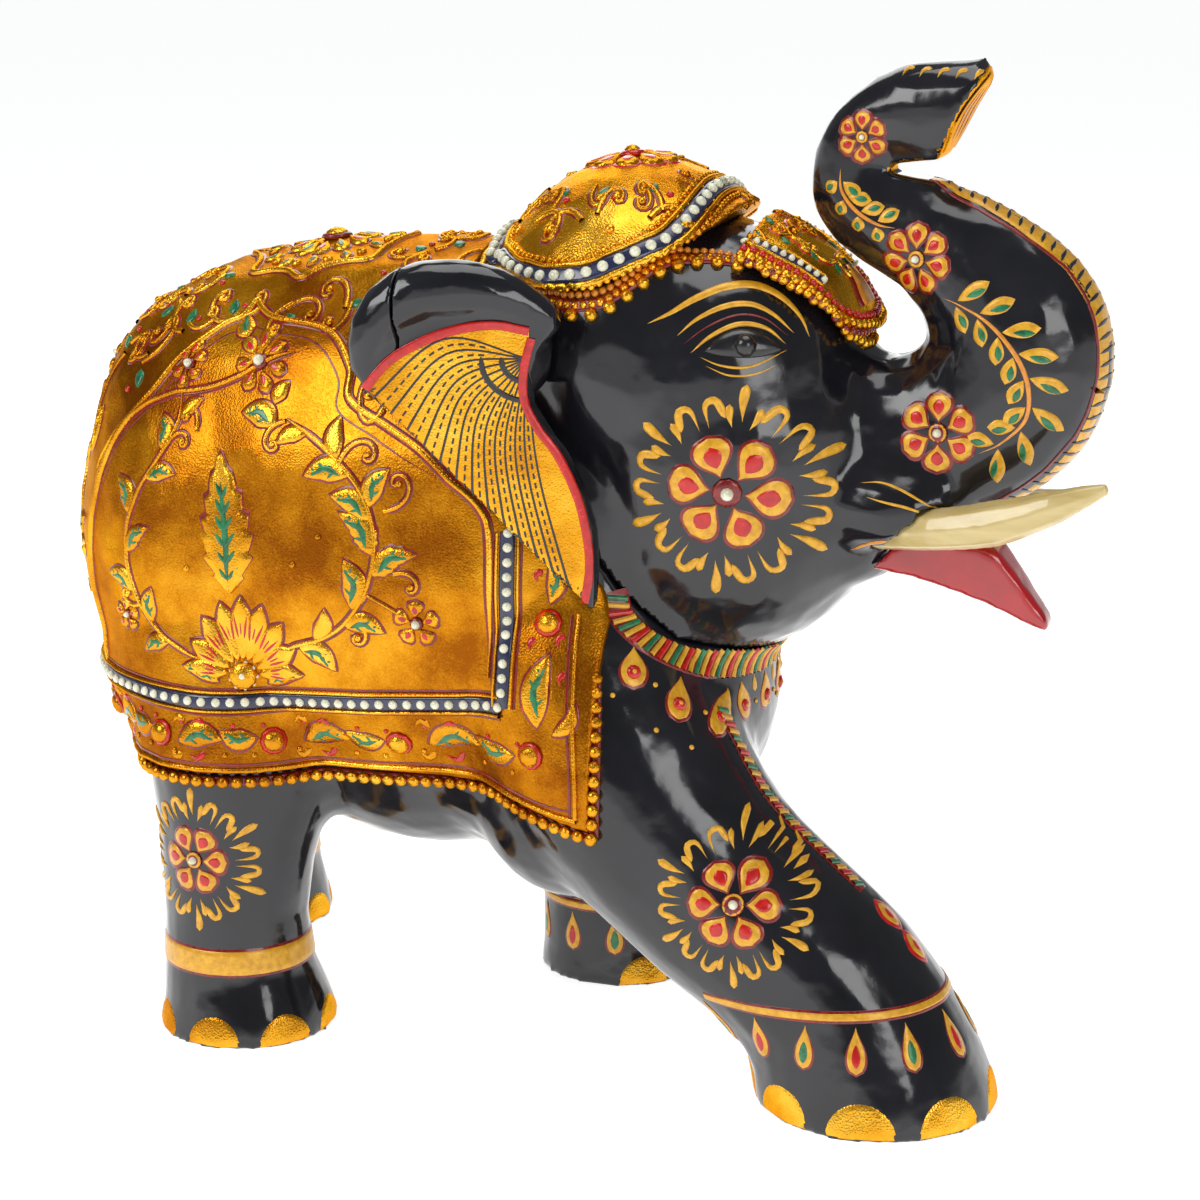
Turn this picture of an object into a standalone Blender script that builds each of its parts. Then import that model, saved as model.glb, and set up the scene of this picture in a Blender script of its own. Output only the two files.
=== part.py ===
"""Carved and painted wooden elephant, walking, with its trunk raised.

World frame: metres, +Z up, +X towards the elephant's face, and the elephant's own
right side towards -Y. The origin is on the ground under the middle of the figure.
Shapes are laid out in millimetres with the helpers below, which scale them by MM.
"""

import math

import bmesh
import bpy
from mathutils import Matrix, Vector
from mathutils.bvhtree import BVHTree

MM = 0.001

# Driving dimensions, millimetres.
GAP = 0.3  # glue line, and the clearance between touching pieces
SKIN_GAP = 0.5  # clearance under a layer that follows the blocks' skin
CLOTH = 1.7  # thickness of the raised gesso and gold-leaf saddle cloth
GROUND = 0.0
BLOCK_VOXEL = 2.4  # finest carving step of the two main blocks
BLOCK_KEEP = 0.105  # share of the carved triangles that the blocks keep
EAR_KEEP = 0.055
HEM_Z = 59.0  # height of the saddle cloth's lower hem
CORNER_Z = 56.0  # its front corners hang a little lower
CLOTH_FRONT = 20.0  # X of the saddle cloth's front edge
BAND_INSET = 15.0  # pearl band, measured in from the hem
BAND_RADIUS = 1.1
FRINGE_RADIUS = 1.3
DOWEL_RADIUS = 5.0
EAR_THICKNESS = 4.4
CENTRE_SHIFT = -2.9  # moves the finished figure so that its length is centred on X = 0

# Paint and leaf colours: RGB, roughness, metallic.
LACQUER = ((0.012, 0.012, 0.018), 0.12, 0.0)
GOLD = ((0.78, 0.47, 0.10), 0.35, 0.85)
BRIGHT_GOLD = ((0.88, 0.60, 0.16), 0.30, 0.85)
NAVY = ((0.015, 0.02, 0.07), 0.35, 0.0)
IVORY = ((0.86, 0.76, 0.48), 0.30, 0.0)
LIP_RED = ((0.62, 0.02, 0.03), 0.20, 0.0)
BARE_WOOD = ((0.58, 0.42, 0.26), 0.65, 0.0)


def clear_scene():
    """Remove whatever the file started with."""
    for item in list(bpy.data.objects):
        bpy.data.objects.remove(item, do_unlink=True)


def new_collection(name):
    """A collection linked to the scene."""
    made = bpy.data.collections.new(name)
    bpy.context.scene.collection.children.link(made)
    return made


def finish_material(name, look):
    """A Principled material from a (colour, roughness, metallic) look."""
    colour, roughness, metallic = look
    material = bpy.data.materials.new(name)
    material.use_nodes = True
    shader = material.node_tree.nodes["Principled BSDF"]
    shader.inputs["Base Color"].default_value = (*colour, 1.0)
    shader.inputs["Roughness"].default_value = roughness
    shader.inputs["Metallic"].default_value = metallic
    material.diffuse_color = (*colour, 1.0)
    return material


def place(name, mesh, collection):
    """A named object at the world origin that holds the mesh."""
    made = bpy.data.objects.new(name, mesh)
    collection.objects.link(made)
    return made


def evaluated_mesh(thing, weld=0.01):
    """The mesh of an object with its modifiers, welded, in world coordinates."""
    bpy.context.view_layer.update()
    graph = bpy.context.evaluated_depsgraph_get()
    mesh = bpy.data.meshes.new_from_object(thing.evaluated_get(graph), depsgraph=graph)
    mesh.transform(thing.matrix_world)
    shape = bmesh.new()
    shape.from_mesh(mesh)
    bmesh.ops.remove_doubles(shape, verts=shape.verts, dist=weld * MM)
    shape.to_mesh(mesh)
    shape.free()
    return mesh


def bake(thing, name, collection):
    """Replace an object by a plain mesh object of its evaluated shape."""
    made = place(name, evaluated_mesh(thing), collection)
    bpy.data.objects.remove(thing, do_unlink=True)
    return made


def ellipsoid(centre, radii, collection, lean=0.0):
    """A scaled sphere in millimetres, turned by lean degrees about Y."""
    shape = bmesh.new()
    turn = Matrix.Rotation(math.radians(lean), 4, "Y")
    size = Matrix.Diagonal((*[r * MM for r in radii], 1.0))
    spot = Matrix.Translation(Vector(centre) * MM)
    bmesh.ops.create_uvsphere(
        shape, u_segments=32, v_segments=20, radius=1.0, matrix=spot @ turn @ size
    )
    mesh = bpy.data.meshes.new("lump")
    shape.to_mesh(mesh)
    shape.free()
    return place("lump", mesh, collection)


def limb(stations, collection, flatten=1.0, sides=6, detail=8):
    """A round tube through (x, y, z, radius) stations; flatten narrows it across Y."""
    curve = bpy.data.curves.new("limb", "CURVE")
    curve.dimensions = "3D"
    curve.bevel_depth = MM
    curve.bevel_resolution = sides
    curve.use_fill_caps = True
    curve.resolution_u = detail
    spline = curve.splines.new("BEZIER")
    spline.bezier_points.add(len(stations) - 1)
    for point, (x, y, z, radius) in zip(spline.bezier_points, stations):
        point.co = Vector((x, y / flatten, z)) * MM
        point.radius = radius
        point.handle_left_type = "AUTO"
        point.handle_right_type = "AUTO"
    thing = bpy.data.objects.new("limb", curve)
    collection.objects.link(thing)
    thing.scale = (1.0, flatten, 1.0)
    return bake(thing, "limb", collection)


def join(pieces, name, collection):
    """One object that holds the meshes of several."""
    shape = bmesh.new()
    for piece in pieces:
        shape.from_mesh(piece.data)
        bpy.data.objects.remove(piece, do_unlink=True)
    mesh = bpy.data.meshes.new(name)
    shape.to_mesh(mesh)
    shape.free()
    return place(name, mesh, collection)


def carve(pieces, name, collection, voxel, smoothing, keep):
    """Blend overlapping lumps into one smooth skin and thin its triangles."""
    blank = join(pieces, name, collection)
    remesh = blank.modifiers.new("Blend", "REMESH")
    remesh.mode = "VOXEL"
    remesh.voxel_size = voxel * MM
    smooth = blank.modifiers.new("Sand", "SMOOTH")
    smooth.factor = 0.5
    smooth.iterations = smoothing
    thin = blank.modifiers.new("Facet", "DECIMATE")
    thin.ratio = keep
    return bake(blank, name, collection)


def swollen(thing, distance, name, collection):
    """A copy of a solid grown outwards by a distance in millimetres."""
    copy = place(name, thing.data.copy(), collection)
    grow = copy.modifiers.new("Grow", "DISPLACE")
    grow.mid_level = 0.0
    grow.strength = distance * MM
    return bake(copy, name, collection)


def prism(outline, low, high, name, collection, plan=False):
    """A side-view (x, z) outline extruded from Y low to Y high, or a plan one (x, y)."""
    shape = bmesh.new()
    if plan:
        spots, reach = [(x, y, low) for x, y in outline], (0.0, 0.0, high - low)
    else:
        spots, reach = [(x, low, z) for x, z in outline], (0.0, high - low, 0.0)
    face = shape.faces.new([shape.verts.new(Vector(spot) * MM) for spot in spots])
    grown = bmesh.ops.extrude_face_region(shape, geom=[face])
    moved = [v for v in grown["geom"] if isinstance(v, bmesh.types.BMVert)]
    bmesh.ops.translate(shape, verts=moved, vec=Vector(reach) * MM)
    bmesh.ops.recalc_face_normals(shape, faces=shape.faces)
    mesh = bpy.data.meshes.new(name)
    shape.to_mesh(mesh)
    shape.free()
    return place(name, mesh, collection)


def rod(start, end, radius, name, collection, sides=24):
    """A closed cylinder between two points, millimetres."""
    a, b = Vector(start) * MM, Vector(end) * MM
    aim = (b - a).to_track_quat("Z", "Y").to_matrix().to_4x4()
    shape = bmesh.new()
    bmesh.ops.create_cone(
        shape, cap_ends=True, segments=sides, radius1=radius * MM, radius2=radius * MM,
        depth=(b - a).length, matrix=Matrix.Translation((a + b) / 2) @ aim,
    )
    mesh = bpy.data.meshes.new(name)
    shape.to_mesh(mesh)
    shape.free()
    return place(name, mesh, collection)


def as_cutter(thing):
    """Mark an object as a tool that is not part of the figure."""
    thing.hide_render = True
    thing.display_type = "WIRE"
    return thing


def combine(thing, tool, operation):
    """One exact Boolean between a piece and a tool, applied."""
    boolean = thing.modifiers.new(operation.title(), "BOOLEAN")
    boolean.operation = operation
    boolean.solver = "EXACT"
    boolean.object = tool
    mesh = evaluated_mesh(thing, weld=0.0001)
    thing.modifiers.clear()
    thing.data = mesh
    return thing


def slice_off(thing, point, normal):
    """Cut away the side that the normal points to, and close the flat face."""
    shape = bmesh.new()
    shape.from_mesh(thing.data)
    cut = bmesh.ops.bisect_plane(
        shape, geom=list(shape.verts) + list(shape.edges) + list(shape.faces),
        plane_co=Vector(point) * MM, plane_no=Vector(normal), clear_outer=True,
    )
    rim = [e for e in cut["geom_cut"] if isinstance(e, bmesh.types.BMEdge)]
    bmesh.ops.triangle_fill(shape, edges=rim, use_beauty=True, use_dissolve=False)
    bmesh.ops.recalc_face_normals(shape, faces=shape.faces)
    shape.to_mesh(thing.data)
    shape.free()
    return thing


def bodies(thing, collection):
    """The separate closed bodies of a mesh as objects, ordered from rear to front."""
    shape = bmesh.new()
    shape.from_mesh(thing.data)
    seen = set()
    found = []
    for first in shape.verts:
        if first.index in seen:
            continue
        group, stack = [], [first]
        seen.add(first.index)
        while stack:
            vert = stack.pop()
            group.append(vert)
            for edge in vert.link_edges:
                other = edge.other_vert(vert)
                if other.index not in seen:
                    seen.add(other.index)
                    stack.append(other)
        found.append(group)
    pieces = []
    for group in found:
        part = bmesh.new()
        twin = {vert: part.verts.new(vert.co) for vert in group}
        faces = {face for vert in group for face in vert.link_faces}
        for face in sorted(faces, key=lambda f: f.index):
            part.faces.new([twin[vert] for vert in face.verts])
        mesh = bpy.data.meshes.new(thing.name)
        part.to_mesh(mesh)
        part.free()
        middle = sum((vert.co.x for vert in group)) / len(group)
        pieces.append((middle, place(thing.name, mesh, collection)))
    shape.free()
    bpy.data.objects.remove(thing, do_unlink=True)
    return [piece for middle, piece in sorted(pieces, key=lambda pair: pair[0])]


def largest(thing, collection):
    """Keep the biggest closed body of a mesh object."""
    name = thing.name
    pieces = sorted(bodies(thing, collection), key=lambda piece: len(piece.data.vertices))
    for scrap in pieces[:-1]:
        bpy.data.objects.remove(scrap, do_unlink=True)
    pieces[-1].name = name
    return pieces[-1]


def surface_of(thing):
    """A searchable copy of an object's surface."""
    graph = bpy.context.evaluated_depsgraph_get()
    return BVHTree.FromObject(thing, graph)


def strip(points, radius, name, collection, closed=False):
    """A slim round cord through points in metres, with flat ends."""
    curve = bpy.data.curves.new(name, "CURVE")
    curve.dimensions = "3D"
    curve.bevel_depth = radius * MM
    curve.bevel_resolution = 1
    curve.use_fill_caps = not closed
    spline = curve.splines.new("POLY")
    spline.points.add(len(points) - 1)
    for target, point in zip(spline.points, points):
        target.co = (*point, 1.0)
    spline.use_cyclic_u = closed
    thing = bpy.data.objects.new(name, curve)
    collection.objects.link(thing)
    return bake(thing, name, collection)


def mirrored(thing, name, collection):
    """A copy of a mesh object on the other side of the Y = 0 plane."""
    mesh = thing.data.copy()
    mesh.transform(Matrix.Diagonal((1.0, -1.0, 1.0, 1.0)))
    shape = bmesh.new()
    shape.from_mesh(mesh)
    bmesh.ops.recalc_face_normals(shape, faces=shape.faces)
    shape.to_mesh(mesh)
    shape.free()
    return place(name, mesh, collection)


def dress(thing, name, material):
    """Centre a finished piece, name it, give it its material and round its shading."""
    thing.data.transform(Matrix.Translation((CENTRE_SHIFT * MM, 0.0, 0.0)))
    thing.name = name
    thing.data.name = name
    thing.data.materials.clear()
    thing.data.materials.append(material)
    thing.data.shade_smooth()
    thing.data.set_sharp_from_angle(angle=math.radians(50.0))
    return thing


# The figure's lumps, millimetres: (centre), (radii), lean about Y in degrees.
BARREL = (
    (-98, 0, 100, 30), (-88, 0, 101, 46), (-72, 0, 101.5, 55), (-52, 0, 101, 60.5),
    (-30, 0, 100.5, 62.5), (-8, 0, 101.5, 61.5), (10, 0, 100, 51), (24, 0, 95, 39),
    (34, 0, 90, 27),
)
BARREL_FLATTEN = 0.70
TORSO_LUMPS = (
    ((-66.5, 0.0, 101.0), (38.8, 41.5, 50.0), 0.0),  # croup
    ((-64.5, 0.0, 79.0), (36.5, 42.0, 37.0), 0.0),  # haunches
    ((10.5, 0.0, 74.0), (33.5, 36.0, 36.0), 0.0),  # chest
    ((-6.0, 0.0, 66.0), (34.0, 34.0, 30.0), 0.0),  # brisket
    ((9.0, -19.0, 54.0), (23.0, 19.0, 22.0), 0.0),  # right elbow
    ((-30.0, 0.0, 68.0), (40.0, 32.0, 33.0), 0.0),  # belly
)
LEGS = {
    "front_right": (
        (0, -10, 98, 24), (8, -17, 80, 26), (21, -22, 60, 25), (38, -25, 42, 21.5),
        (54.5, -26, 29.5, 20.5), (65, -26, 19, 21), (70, -26, 9, 23), (73, -26, -1, 25),
        (74, -26, -10, 25.5),
    ),
    "front_left": (
        (4, 12, 100, 22), (4, 18, 80, 23), (2, 24, 56, 19), (0, 27, 34, 16.5),
        (0, 28, 17, 16), (0.5, 29, 6, 17), (1, 29, -1, 18.5), (1, 29, -10, 19),
    ),
    "rear_right": (
        (-64, -12, 96, 24), (-64, -18, 76, 25), (-64, -24, 57, 21.5), (-64.5, -28, 40, 16.8),
        (-65, -29, 24, 15.2), (-64.2, -29.5, 11, 16.2), (-62.8, -29.5, 1, 19.2),
        (-62.8, -29.5, -10, 19.8),
    ),
    "rear_left": (
        (-70, 12, 96, 24), (-76, 18, 76, 25), (-84, 25, 57, 21.5), (-89, 29, 40, 17),
        (-91, 31, 24, 16), (-90.5, 32, 11, 16.5), (-90, 32, 1, 18.5), (-90, 32, -10, 19),
    ),
}
HEAD_LUMPS = (
    ((15.0, 0.0, 143.5), (28.0, 34.0, 35.0), 0.0),  # crown
    ((28.5, 0.0, 139.5), (34.5, 33.5, 31.5), 0.0),  # forehead
    ((35.0, 0.0, 111.0), (29.0, 32.0, 27.5), 0.0),  # cheeks and jaw
    ((32.0, 0.0, 127.0), (34.0, 34.0, 33.0), 0.0),  # face
    ((50.0, 0.0, 141.0), (13.0, 20.0, 17.0), 0.0),  # root of the trunk
    ((58.0, 0.0, 109.0), (13.0, 15.0, 9.0), 28.0),  # chin
    ((69.5, -12.5, 117.0), (15.0, 8.5, 8.0), 0.0),  # right tusk sheath
    ((66.0, 11.0, 115.0), (13.0, 8.0, 8.0), 0.0),  # left tusk sheath
)
TRUNK = (
    (46, 0, 126, 20), (62, 0, 128, 17), (73.5, 0, 129.0, 17), (84, 0, 133, 18.2),
    (91, 0, 140.6, 18.8), (92.2, 0, 150.7, 18), (84, 0, 161.5, 14.8),
    (72.8, 0, 168.6, 11.2), (63.4, 0, 172, 9.6), (58.4, 0, 175.5, 8.5),
    (57.6, 0, 181, 7.8), (59.5, 0, 187, 7.6), (63.8, 0, 190.8, 8.2),
    (70, 0, 192.3, 10.2), (78, 0, 192.6, 10.8), (86, 0, 193, 11.2),
)
TRUNK_FLATTEN = 0.82
# Saw line between torso and head, from the nape to the throat: (x, z).
NECK_LINE = (
    (-26, 190), (-14, 160), (-6, 142), (8, 120), (20, 101), (31, 90), (46, 84.5), (74, 80),
)
# Waste cut from the trunk's tip, side view: the slanting mouth and the notch below it.
TRUNK_MOUTH = (
    (84.9, 206), (84.9, 200), (80.7, 193.6), (78.1, 188), (76.2, 184), (66, 182.6),
    (66, 181), (80, 179), (110, 179), (110, 206),
)


def kerf(line, width):
    """A closed outline of the given width along an (x, z) line."""
    left, right = [], []
    for index, (x, z) in enumerate(line):
        before = line[max(index - 1, 0)]
        after = line[min(index + 1, len(line) - 1)]
        run = Vector((after[0] - before[0], after[1] - before[1])).normalized()
        side = Vector((-run.y, run.x)) * width / 2
        left.append((x + side.x, z + side.y))
        right.append((x - side.x, z - side.y))
    return left + right[::-1]


def carve_blank(collection):
    """Torso, legs, head and trunk as one smooth skin standing on flat soles."""
    lumps = [ellipsoid(c, r, collection, lean) for c, r, lean in TORSO_LUMPS + HEAD_LUMPS]
    lumps.append(limb(BARREL, collection, flatten=BARREL_FLATTEN))
    lumps += [limb(stations, collection) for stations in LEGS.values()]
    lumps.append(limb(TRUNK, collection, flatten=TRUNK_FLATTEN))
    blank = carve(lumps, "blank", collection, BLOCK_VOXEL, 9, BLOCK_KEEP)
    slice_off(blank, (0, 0, GROUND), (0, 0, -1))
    return blank


def shell(blank, inner, outer, region, name, collection, cutters):
    """The layer of a swollen skin between two distances that lies in a region."""
    layer = swollen(blank, outer, name, collection)
    core = as_cutter(swollen(blank, inner, name + "_core", cutters))
    combine(layer, region, "INTERSECT")
    combine(layer, core, "DIFFERENCE")
    return layer


def skin(blank, distance, outline, low, high, name, cutters):
    """The swollen blank inside a side-view outline, as a tool for fitting a neighbour."""
    tool = swollen(blank, distance, name, cutters)
    zone = as_cutter(prism(outline, low, high, name + "_zone", cutters))
    return as_cutter(combine(tool, zone, "INTERSECT"))


def box_outline(x0, x1, z0, z1):
    """A rectangle in side view."""
    return [(x0, z0), (x1, z0), (x1, z1), (x0, z1)]


def split_blocks(blank, cutters, collection):
    """Saw the blank through the neck: the torso block, then the head block."""
    saw = as_cutter(prism(kerf(NECK_LINE, GAP), -60, 60, "neck_saw", cutters))
    combine(blank, saw, "DIFFERENCE")
    torso, head = bodies(blank, collection)
    mouth = as_cutter(prism(TRUNK_MOUTH, -20, 20, "trunk_mouth", cutters))
    combine(head, mouth, "DIFFERENCE")
    return torso, head


def cloth_outline(front=0.0):
    """Side view of the saddle cloth; front moves its leading edge forwards."""
    nape = [(x - 1.6 + front, z) for x, z in NECK_LINE[1:5]]
    outline = [(-130, HEM_Z), (-2, HEM_Z + 1), (CLOTH_FRONT + front, CORNER_Z)]
    outline += [(CLOTH_FRONT + front, 96)] + nape[::-1]
    return outline + [(nape[0][0], 200), (-130, 200)]


def make_cloth(blank, cutters, collection):
    """Saddle cloth: one layer over the back, flanks and rump."""
    region = as_cutter(prism(cloth_outline(), -80, 80, "cloth_outline", cutters))
    return shell(blank, SKIN_GAP, SKIN_GAP + CLOTH, region, "saddle_cloth", collection, cutters)


EAR_RIM = (
    (-23.4, 144.6, 3.0), (-22.2, 152.8, 4.6), (-16.2, 159.5, 5.6), (-7.6, 161.2, 5.6),
    (0.2, 160.0, 5.0), (6.2, 157.2, 3.8), (10.2, 154.5, 3.0),
)
EAR_BLADE = (
    (-23.6, 142.2), (-25.4, 148), (-22, 157), (-7, 160), (4, 159), (12, 154), (8.2, 150),
    (6.5, 146), (6.3, 140), (8.7, 135), (12.2, 130), (15.7, 122), (17.8, 114),
    (18.3, 107), (17.8, 97.5),
)
EAR_HINGE = (20.0, -35.5)  # (x, y) where the ear's plane leaves the head
EAR_FLARE = 0.38  # how far it swings out for each millimetre back
EAR_JOINT = -16.8  # X of the glue line across the ear


def ear_y(x):
    """Y of the right ear's middle plane."""
    return EAR_HINGE[1] - EAR_FLARE * (EAR_HINGE[0] - x)


def carve_ear(collection):
    """The whole right ear: a flat blade, a rolled upper rim and its root."""
    half = EAR_THICKNESS / 2
    blade = prism(EAR_BLADE, -half, half, "ear_blade", collection)
    for vert in blade.data.vertices:
        vert.co.y += ear_y(vert.co.x / MM) * MM
    rim = limb([(x, ear_y(x), z, r) for x, z, r in EAR_RIM], collection)
    root = ellipsoid((4.0, -36.5, 148.5), (4.5, 7.5, 9.0), collection)
    return carve([blade, rim, root], "ear", collection, 1.1, 2, EAR_KEEP)


def make_ears(blank, cutters, collection):
    """Each ear is two boards glued edge to edge: the root board and the tip board."""
    right = carve_ear(collection)
    left = mirrored(right, "ear_left", collection)
    boards = {}
    for side, ear, low, high in (("right", right, -80, 0), ("left", left, 0, 80)):
        zone = box_outline(-45, 40, 80, 180)
        flesh = skin(blank, SKIN_GAP, zone, low, high, f"ear_seat_{side}", cutters)
        cover = skin(blank, CLOTH + 2 * SKIN_GAP, cloth_outline(1.0), low, high,
                     f"ear_clearance_{side}", cutters)
        combine(ear, flesh, "DIFFERENCE")
        combine(ear, cover, "DIFFERENCE")
        tip = place(f"ear_tip_{side}", ear.data.copy(), collection)
        boards[f"ear_{side}"] = slice_off(ear, (EAR_JOINT + GAP / 2, 0, 0), (-1, 0, 0))
        boards[f"ear_tip_{side}"] = slice_off(tip, (EAR_JOINT - GAP / 2, 0, 0), (1, 0, 0))
    return boards


TUSKS = {
    "tusk_right": (
        (67, -11, 111.5, 3.4), (80, -16.5, 114.3, 4.2), (92, -18.2, 116.8, 4.6),
        (103.5, -19, 121.0, 3.4), (109.5, -19, 123.6, 2.2), (113.6, -19, 125.3, 1.1),
    ),
    "tusk_left": (
        (67, 10.5, 110.6, 3.4), (77, 13.2, 112.0, 4.0), (86, 13.8, 113.2, 3.9),
        (93, 14.0, 114.4, 2.9), (97.5, 14.0, 115.6, 1.9), (100, 14.0, 116.3, 1.1),
    ),
}
LIP_SIDE = (
    (60, 105), (67.3, 103.4), (73.5, 102.3), (82.7, 99.3), (89.9, 96.4), (97.5, 92.4),
    (100.2, 91.8), (100, 94.4), (93, 104), (89.5, 108.5), (80, 110.5), (60, 112),
)
LIP_HALF_WIDTH = 12.0
LIP_TAPER = 0.75  # share of the width lost from the mouth to the tip


def make_lip(blank, cutters, collection):
    """Pointed lower lip, let into the front of the jaw."""
    lip = prism(LIP_SIDE, -LIP_HALF_WIDTH, LIP_HALF_WIDTH, "lower_lip", collection)
    back, front = LIP_SIDE[0][0] * MM, LIP_SIDE[6][0] * MM
    for vert in lip.data.vertices:
        vert.co.y *= 1.0 - LIP_TAPER * (vert.co.x - back) / (front - back)
    lip = carve([lip], "lower_lip", collection, 1.0, 4, 0.07)
    jaw = skin(blank, SKIN_GAP, box_outline(50, 115, 85, 130), -30, 30, "lip_seat", cutters)
    return largest(combine(lip, jaw, "DIFFERENCE"), collection)


CAP_RIM = ((-12.8, 159.5), (-3, 161), (6, 159.5), (16, 160.5), (27, 166), (35, 171), (41, 178))
CAP_THICKNESS = 3.6
PANEL_SIDE = (
    (41.4, 165.4), (47, 163), (53, 159.6), (58, 155.4), (61.5, 150), (70, 154), (58, 180),
    (41.4, 190),
)
PANEL_THICKNESS = 2.8


def make_headdress(blank, cutters, collection):
    """Skull cap and the panel that runs from it down the forehead."""
    high = 205
    outline = list(CAP_RIM) + [(CAP_RIM[-1][0], high), (CAP_RIM[0][0] - 1, high)]
    region = as_cutter(prism(outline, -60, 60, "cap_outline", cutters))
    cap = shell(blank, SKIN_GAP, SKIN_GAP + CAP_THICKNESS, region, "headdress_cap", collection, cutters)
    lumps = [ellipsoid(c, r, cutters, lean) for c, r, lean in HEAD_LUMPS]
    skull = as_cutter(carve(lumps, "skull", cutters, BLOCK_VOXEL, 9, BLOCK_KEEP))
    side = as_cutter(prism(PANEL_SIDE, -30, 30, "panel_outline", cutters))
    panel = shell(skull, SKIN_GAP, SKIN_GAP + PANEL_THICKNESS, side, "forehead_panel", collection, cutters)
    brow = skin(blank, SKIN_GAP, box_outline(20, 90, 140, 195), -40, 40, "panel_seat", cutters)
    combine(panel, brow, "DIFFERENCE")
    return cap, largest(panel, collection)


PIVOT_X = -62.0  # the pearl band is level behind this X
BAND_FRONT = 1.0  # X of its upright stretch
BAND_WIDTH = 2.8
REACH = 120.0  # rays start this far outside the figure


def side_ray(x, z):
    """A ray from the right towards the middle of the figure."""
    return (x, -REACH, z), (0.0, 1.0, 0.0)


def drape(tree, rays, radius, clear=2 * GAP):
    """Centres for a cord of a radius that lies on the surface where the rays hit."""
    lift = (radius + clear) * MM
    route = []
    for origin, aim in rays:
        aim = Vector(aim)
        spot, normal, index, distance = tree.ray_cast(Vector(origin) * MM, aim)
        route.append(spot - aim * lift / max(0.4, -normal.dot(aim)))
    return route


def both_sides(right, closed=False):
    """A right-hand route that ends at the middle plane, and its mirror image."""
    left = [Vector((p.x, -p.y, p.z)) for p in right[::-1]]
    return right + (left[1:-1] if closed else left[1:])


def spread(start, stop, count):
    """Evenly spaced numbers, both ends included."""
    return [start + (stop - start) * index / count for index in range(count + 1)]


def hem_level(x):
    """Height of the bead fringe under the cloth's hem."""
    clear = FRINGE_RADIUS + 2 * GAP
    if x < -2:
        return HEM_Z - clear + max(0.0, (x + 40) / 38)
    return HEM_Z + 1 - clear - (x + 2) / 22 * (HEM_Z + 1 - CORNER_Z)


def band_level(x):
    """Height of the pearl band, which rises a little towards the front."""
    return HEM_Z + BAND_INSET + max(0.0, (x - PIVOT_X) / 63) * 5


def rim_height(x):
    """Height of the headdress rim above a given X."""
    for (x0, z0), (x1, z1) in zip(CAP_RIM, CAP_RIM[1:]):
        if x <= x1:
            return z0 + (z1 - z0) * (x - x0) / (x1 - x0)
    return CAP_RIM[-1][1]


def make_bands(blank, cap, cutters, collection):
    """Raised strips: pearl bands, bead fringes, collar and the medallion on the back."""
    skin_tree, cap_tree = surface_of(blank), surface_of(cap)
    made = {}
    line = [(x, band_level(x)) for x in (-130, PIVOT_X, BAND_FRONT)] + [(BAND_FRONT, 109)]
    region = as_cutter(prism(kerf(line, BAND_WIDTH), -80, 80, "band_outline", cutters))
    low = CLOTH + 2 * SKIN_GAP
    made["pearl_band"] = shell(blank, low, low + 1.2, region, "pearl_band", collection, cutters)
    front = CLOTH_FRONT + FRINGE_RADIUS + 2 * GAP
    low_hem = [(-130, hem_level(-130)), (-40, hem_level(-40)), (-2, hem_level(-2))]
    hem = low_hem + [(front, hem_level(front)), (front, 86.0)]
    region = as_cutter(prism(kerf(hem, 2 * FRINGE_RADIUS), -80, 80, "fringe_outline", cutters))
    made["hem_fringe"] = shell(
        blank, SKIN_GAP, SKIN_GAP + 2 * FRINGE_RADIUS, region, "hem_fringe", collection, cutters)
    rays = [((-REACH, y, 167.5), (1.0, 0.0, 0.0)) for y in (0.0, -6.0, -12.0)]
    rays += [side_ray(x, rim_height(x) + 3.0) for x in spread(-4.0, 29.0, 11)]
    rays += [((x, y, 2 * REACH), (0.0, 0.0, -1.0)) for x, y in ((31.6, -7.0), (32.2, 0.0))]
    ring = both_sides(drape(cap_tree, rays, BAND_RADIUS, 4 * GAP), closed=True)
    made["headdress_band"] = strip(ring, BAND_RADIUS, "headdress_band", collection, closed=True)
    edge = [(x, rim_height(x) - FRINGE_RADIUS - 1.4) for x in spread(18, 34, 4)]
    edge += [(41, 163.0), (47, 160.6), (53, 157.2), (57.5, 153.4)]
    right = strip(drape(skin_tree, [side_ray(*spot) for spot in edge], FRINGE_RADIUS),
                  FRINGE_RADIUS, "headdress_fringe_right", collection)
    made["headdress_fringe_right"] = right
    made["headdress_fringe_left"] = mirrored(right, "headdress_fringe_left", collection)
    throat = ((23.2, 92.4), (29, 86.8), (36, 83.0), (46, 79.6), (64, 74))
    region = as_cutter(prism(kerf(throat, 5.0), -60, 60, "collar_outline", cutters))
    made["collar_band"] = shell(blank, SKIN_GAP, SKIN_GAP + 1.6, region, "collar_band", collection, cutters)
    disc = [(-52 + 19 * math.cos(t), 19 * math.sin(t)) for t in spread(0, 2 * math.pi, 24)[:-1]]
    region = as_cutter(prism(disc, 140, 200, "medallion_outline", cutters, plan=True))
    made["saddle_medallion"] = shell(
        blank, low, low + 1.3, region, "saddle_medallion", collection, cutters)
    return made


TAIL = (
    (-88, 0, 49, 2.6), (-94.5, 1.5, 47.5, 2.5), (-97.5, 3.5, 42, 2.3), (-98.5, 5.5, 34, 2.2),
    (-98.5, 7, 27, 2.6), (-98, 8, 20, 3.2), (-97.5, 8.5, 13, 1.8),
)
DOWEL = ((-7.0, 0.0, 109.0), (25.0, 0.0, 129.0))


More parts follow.
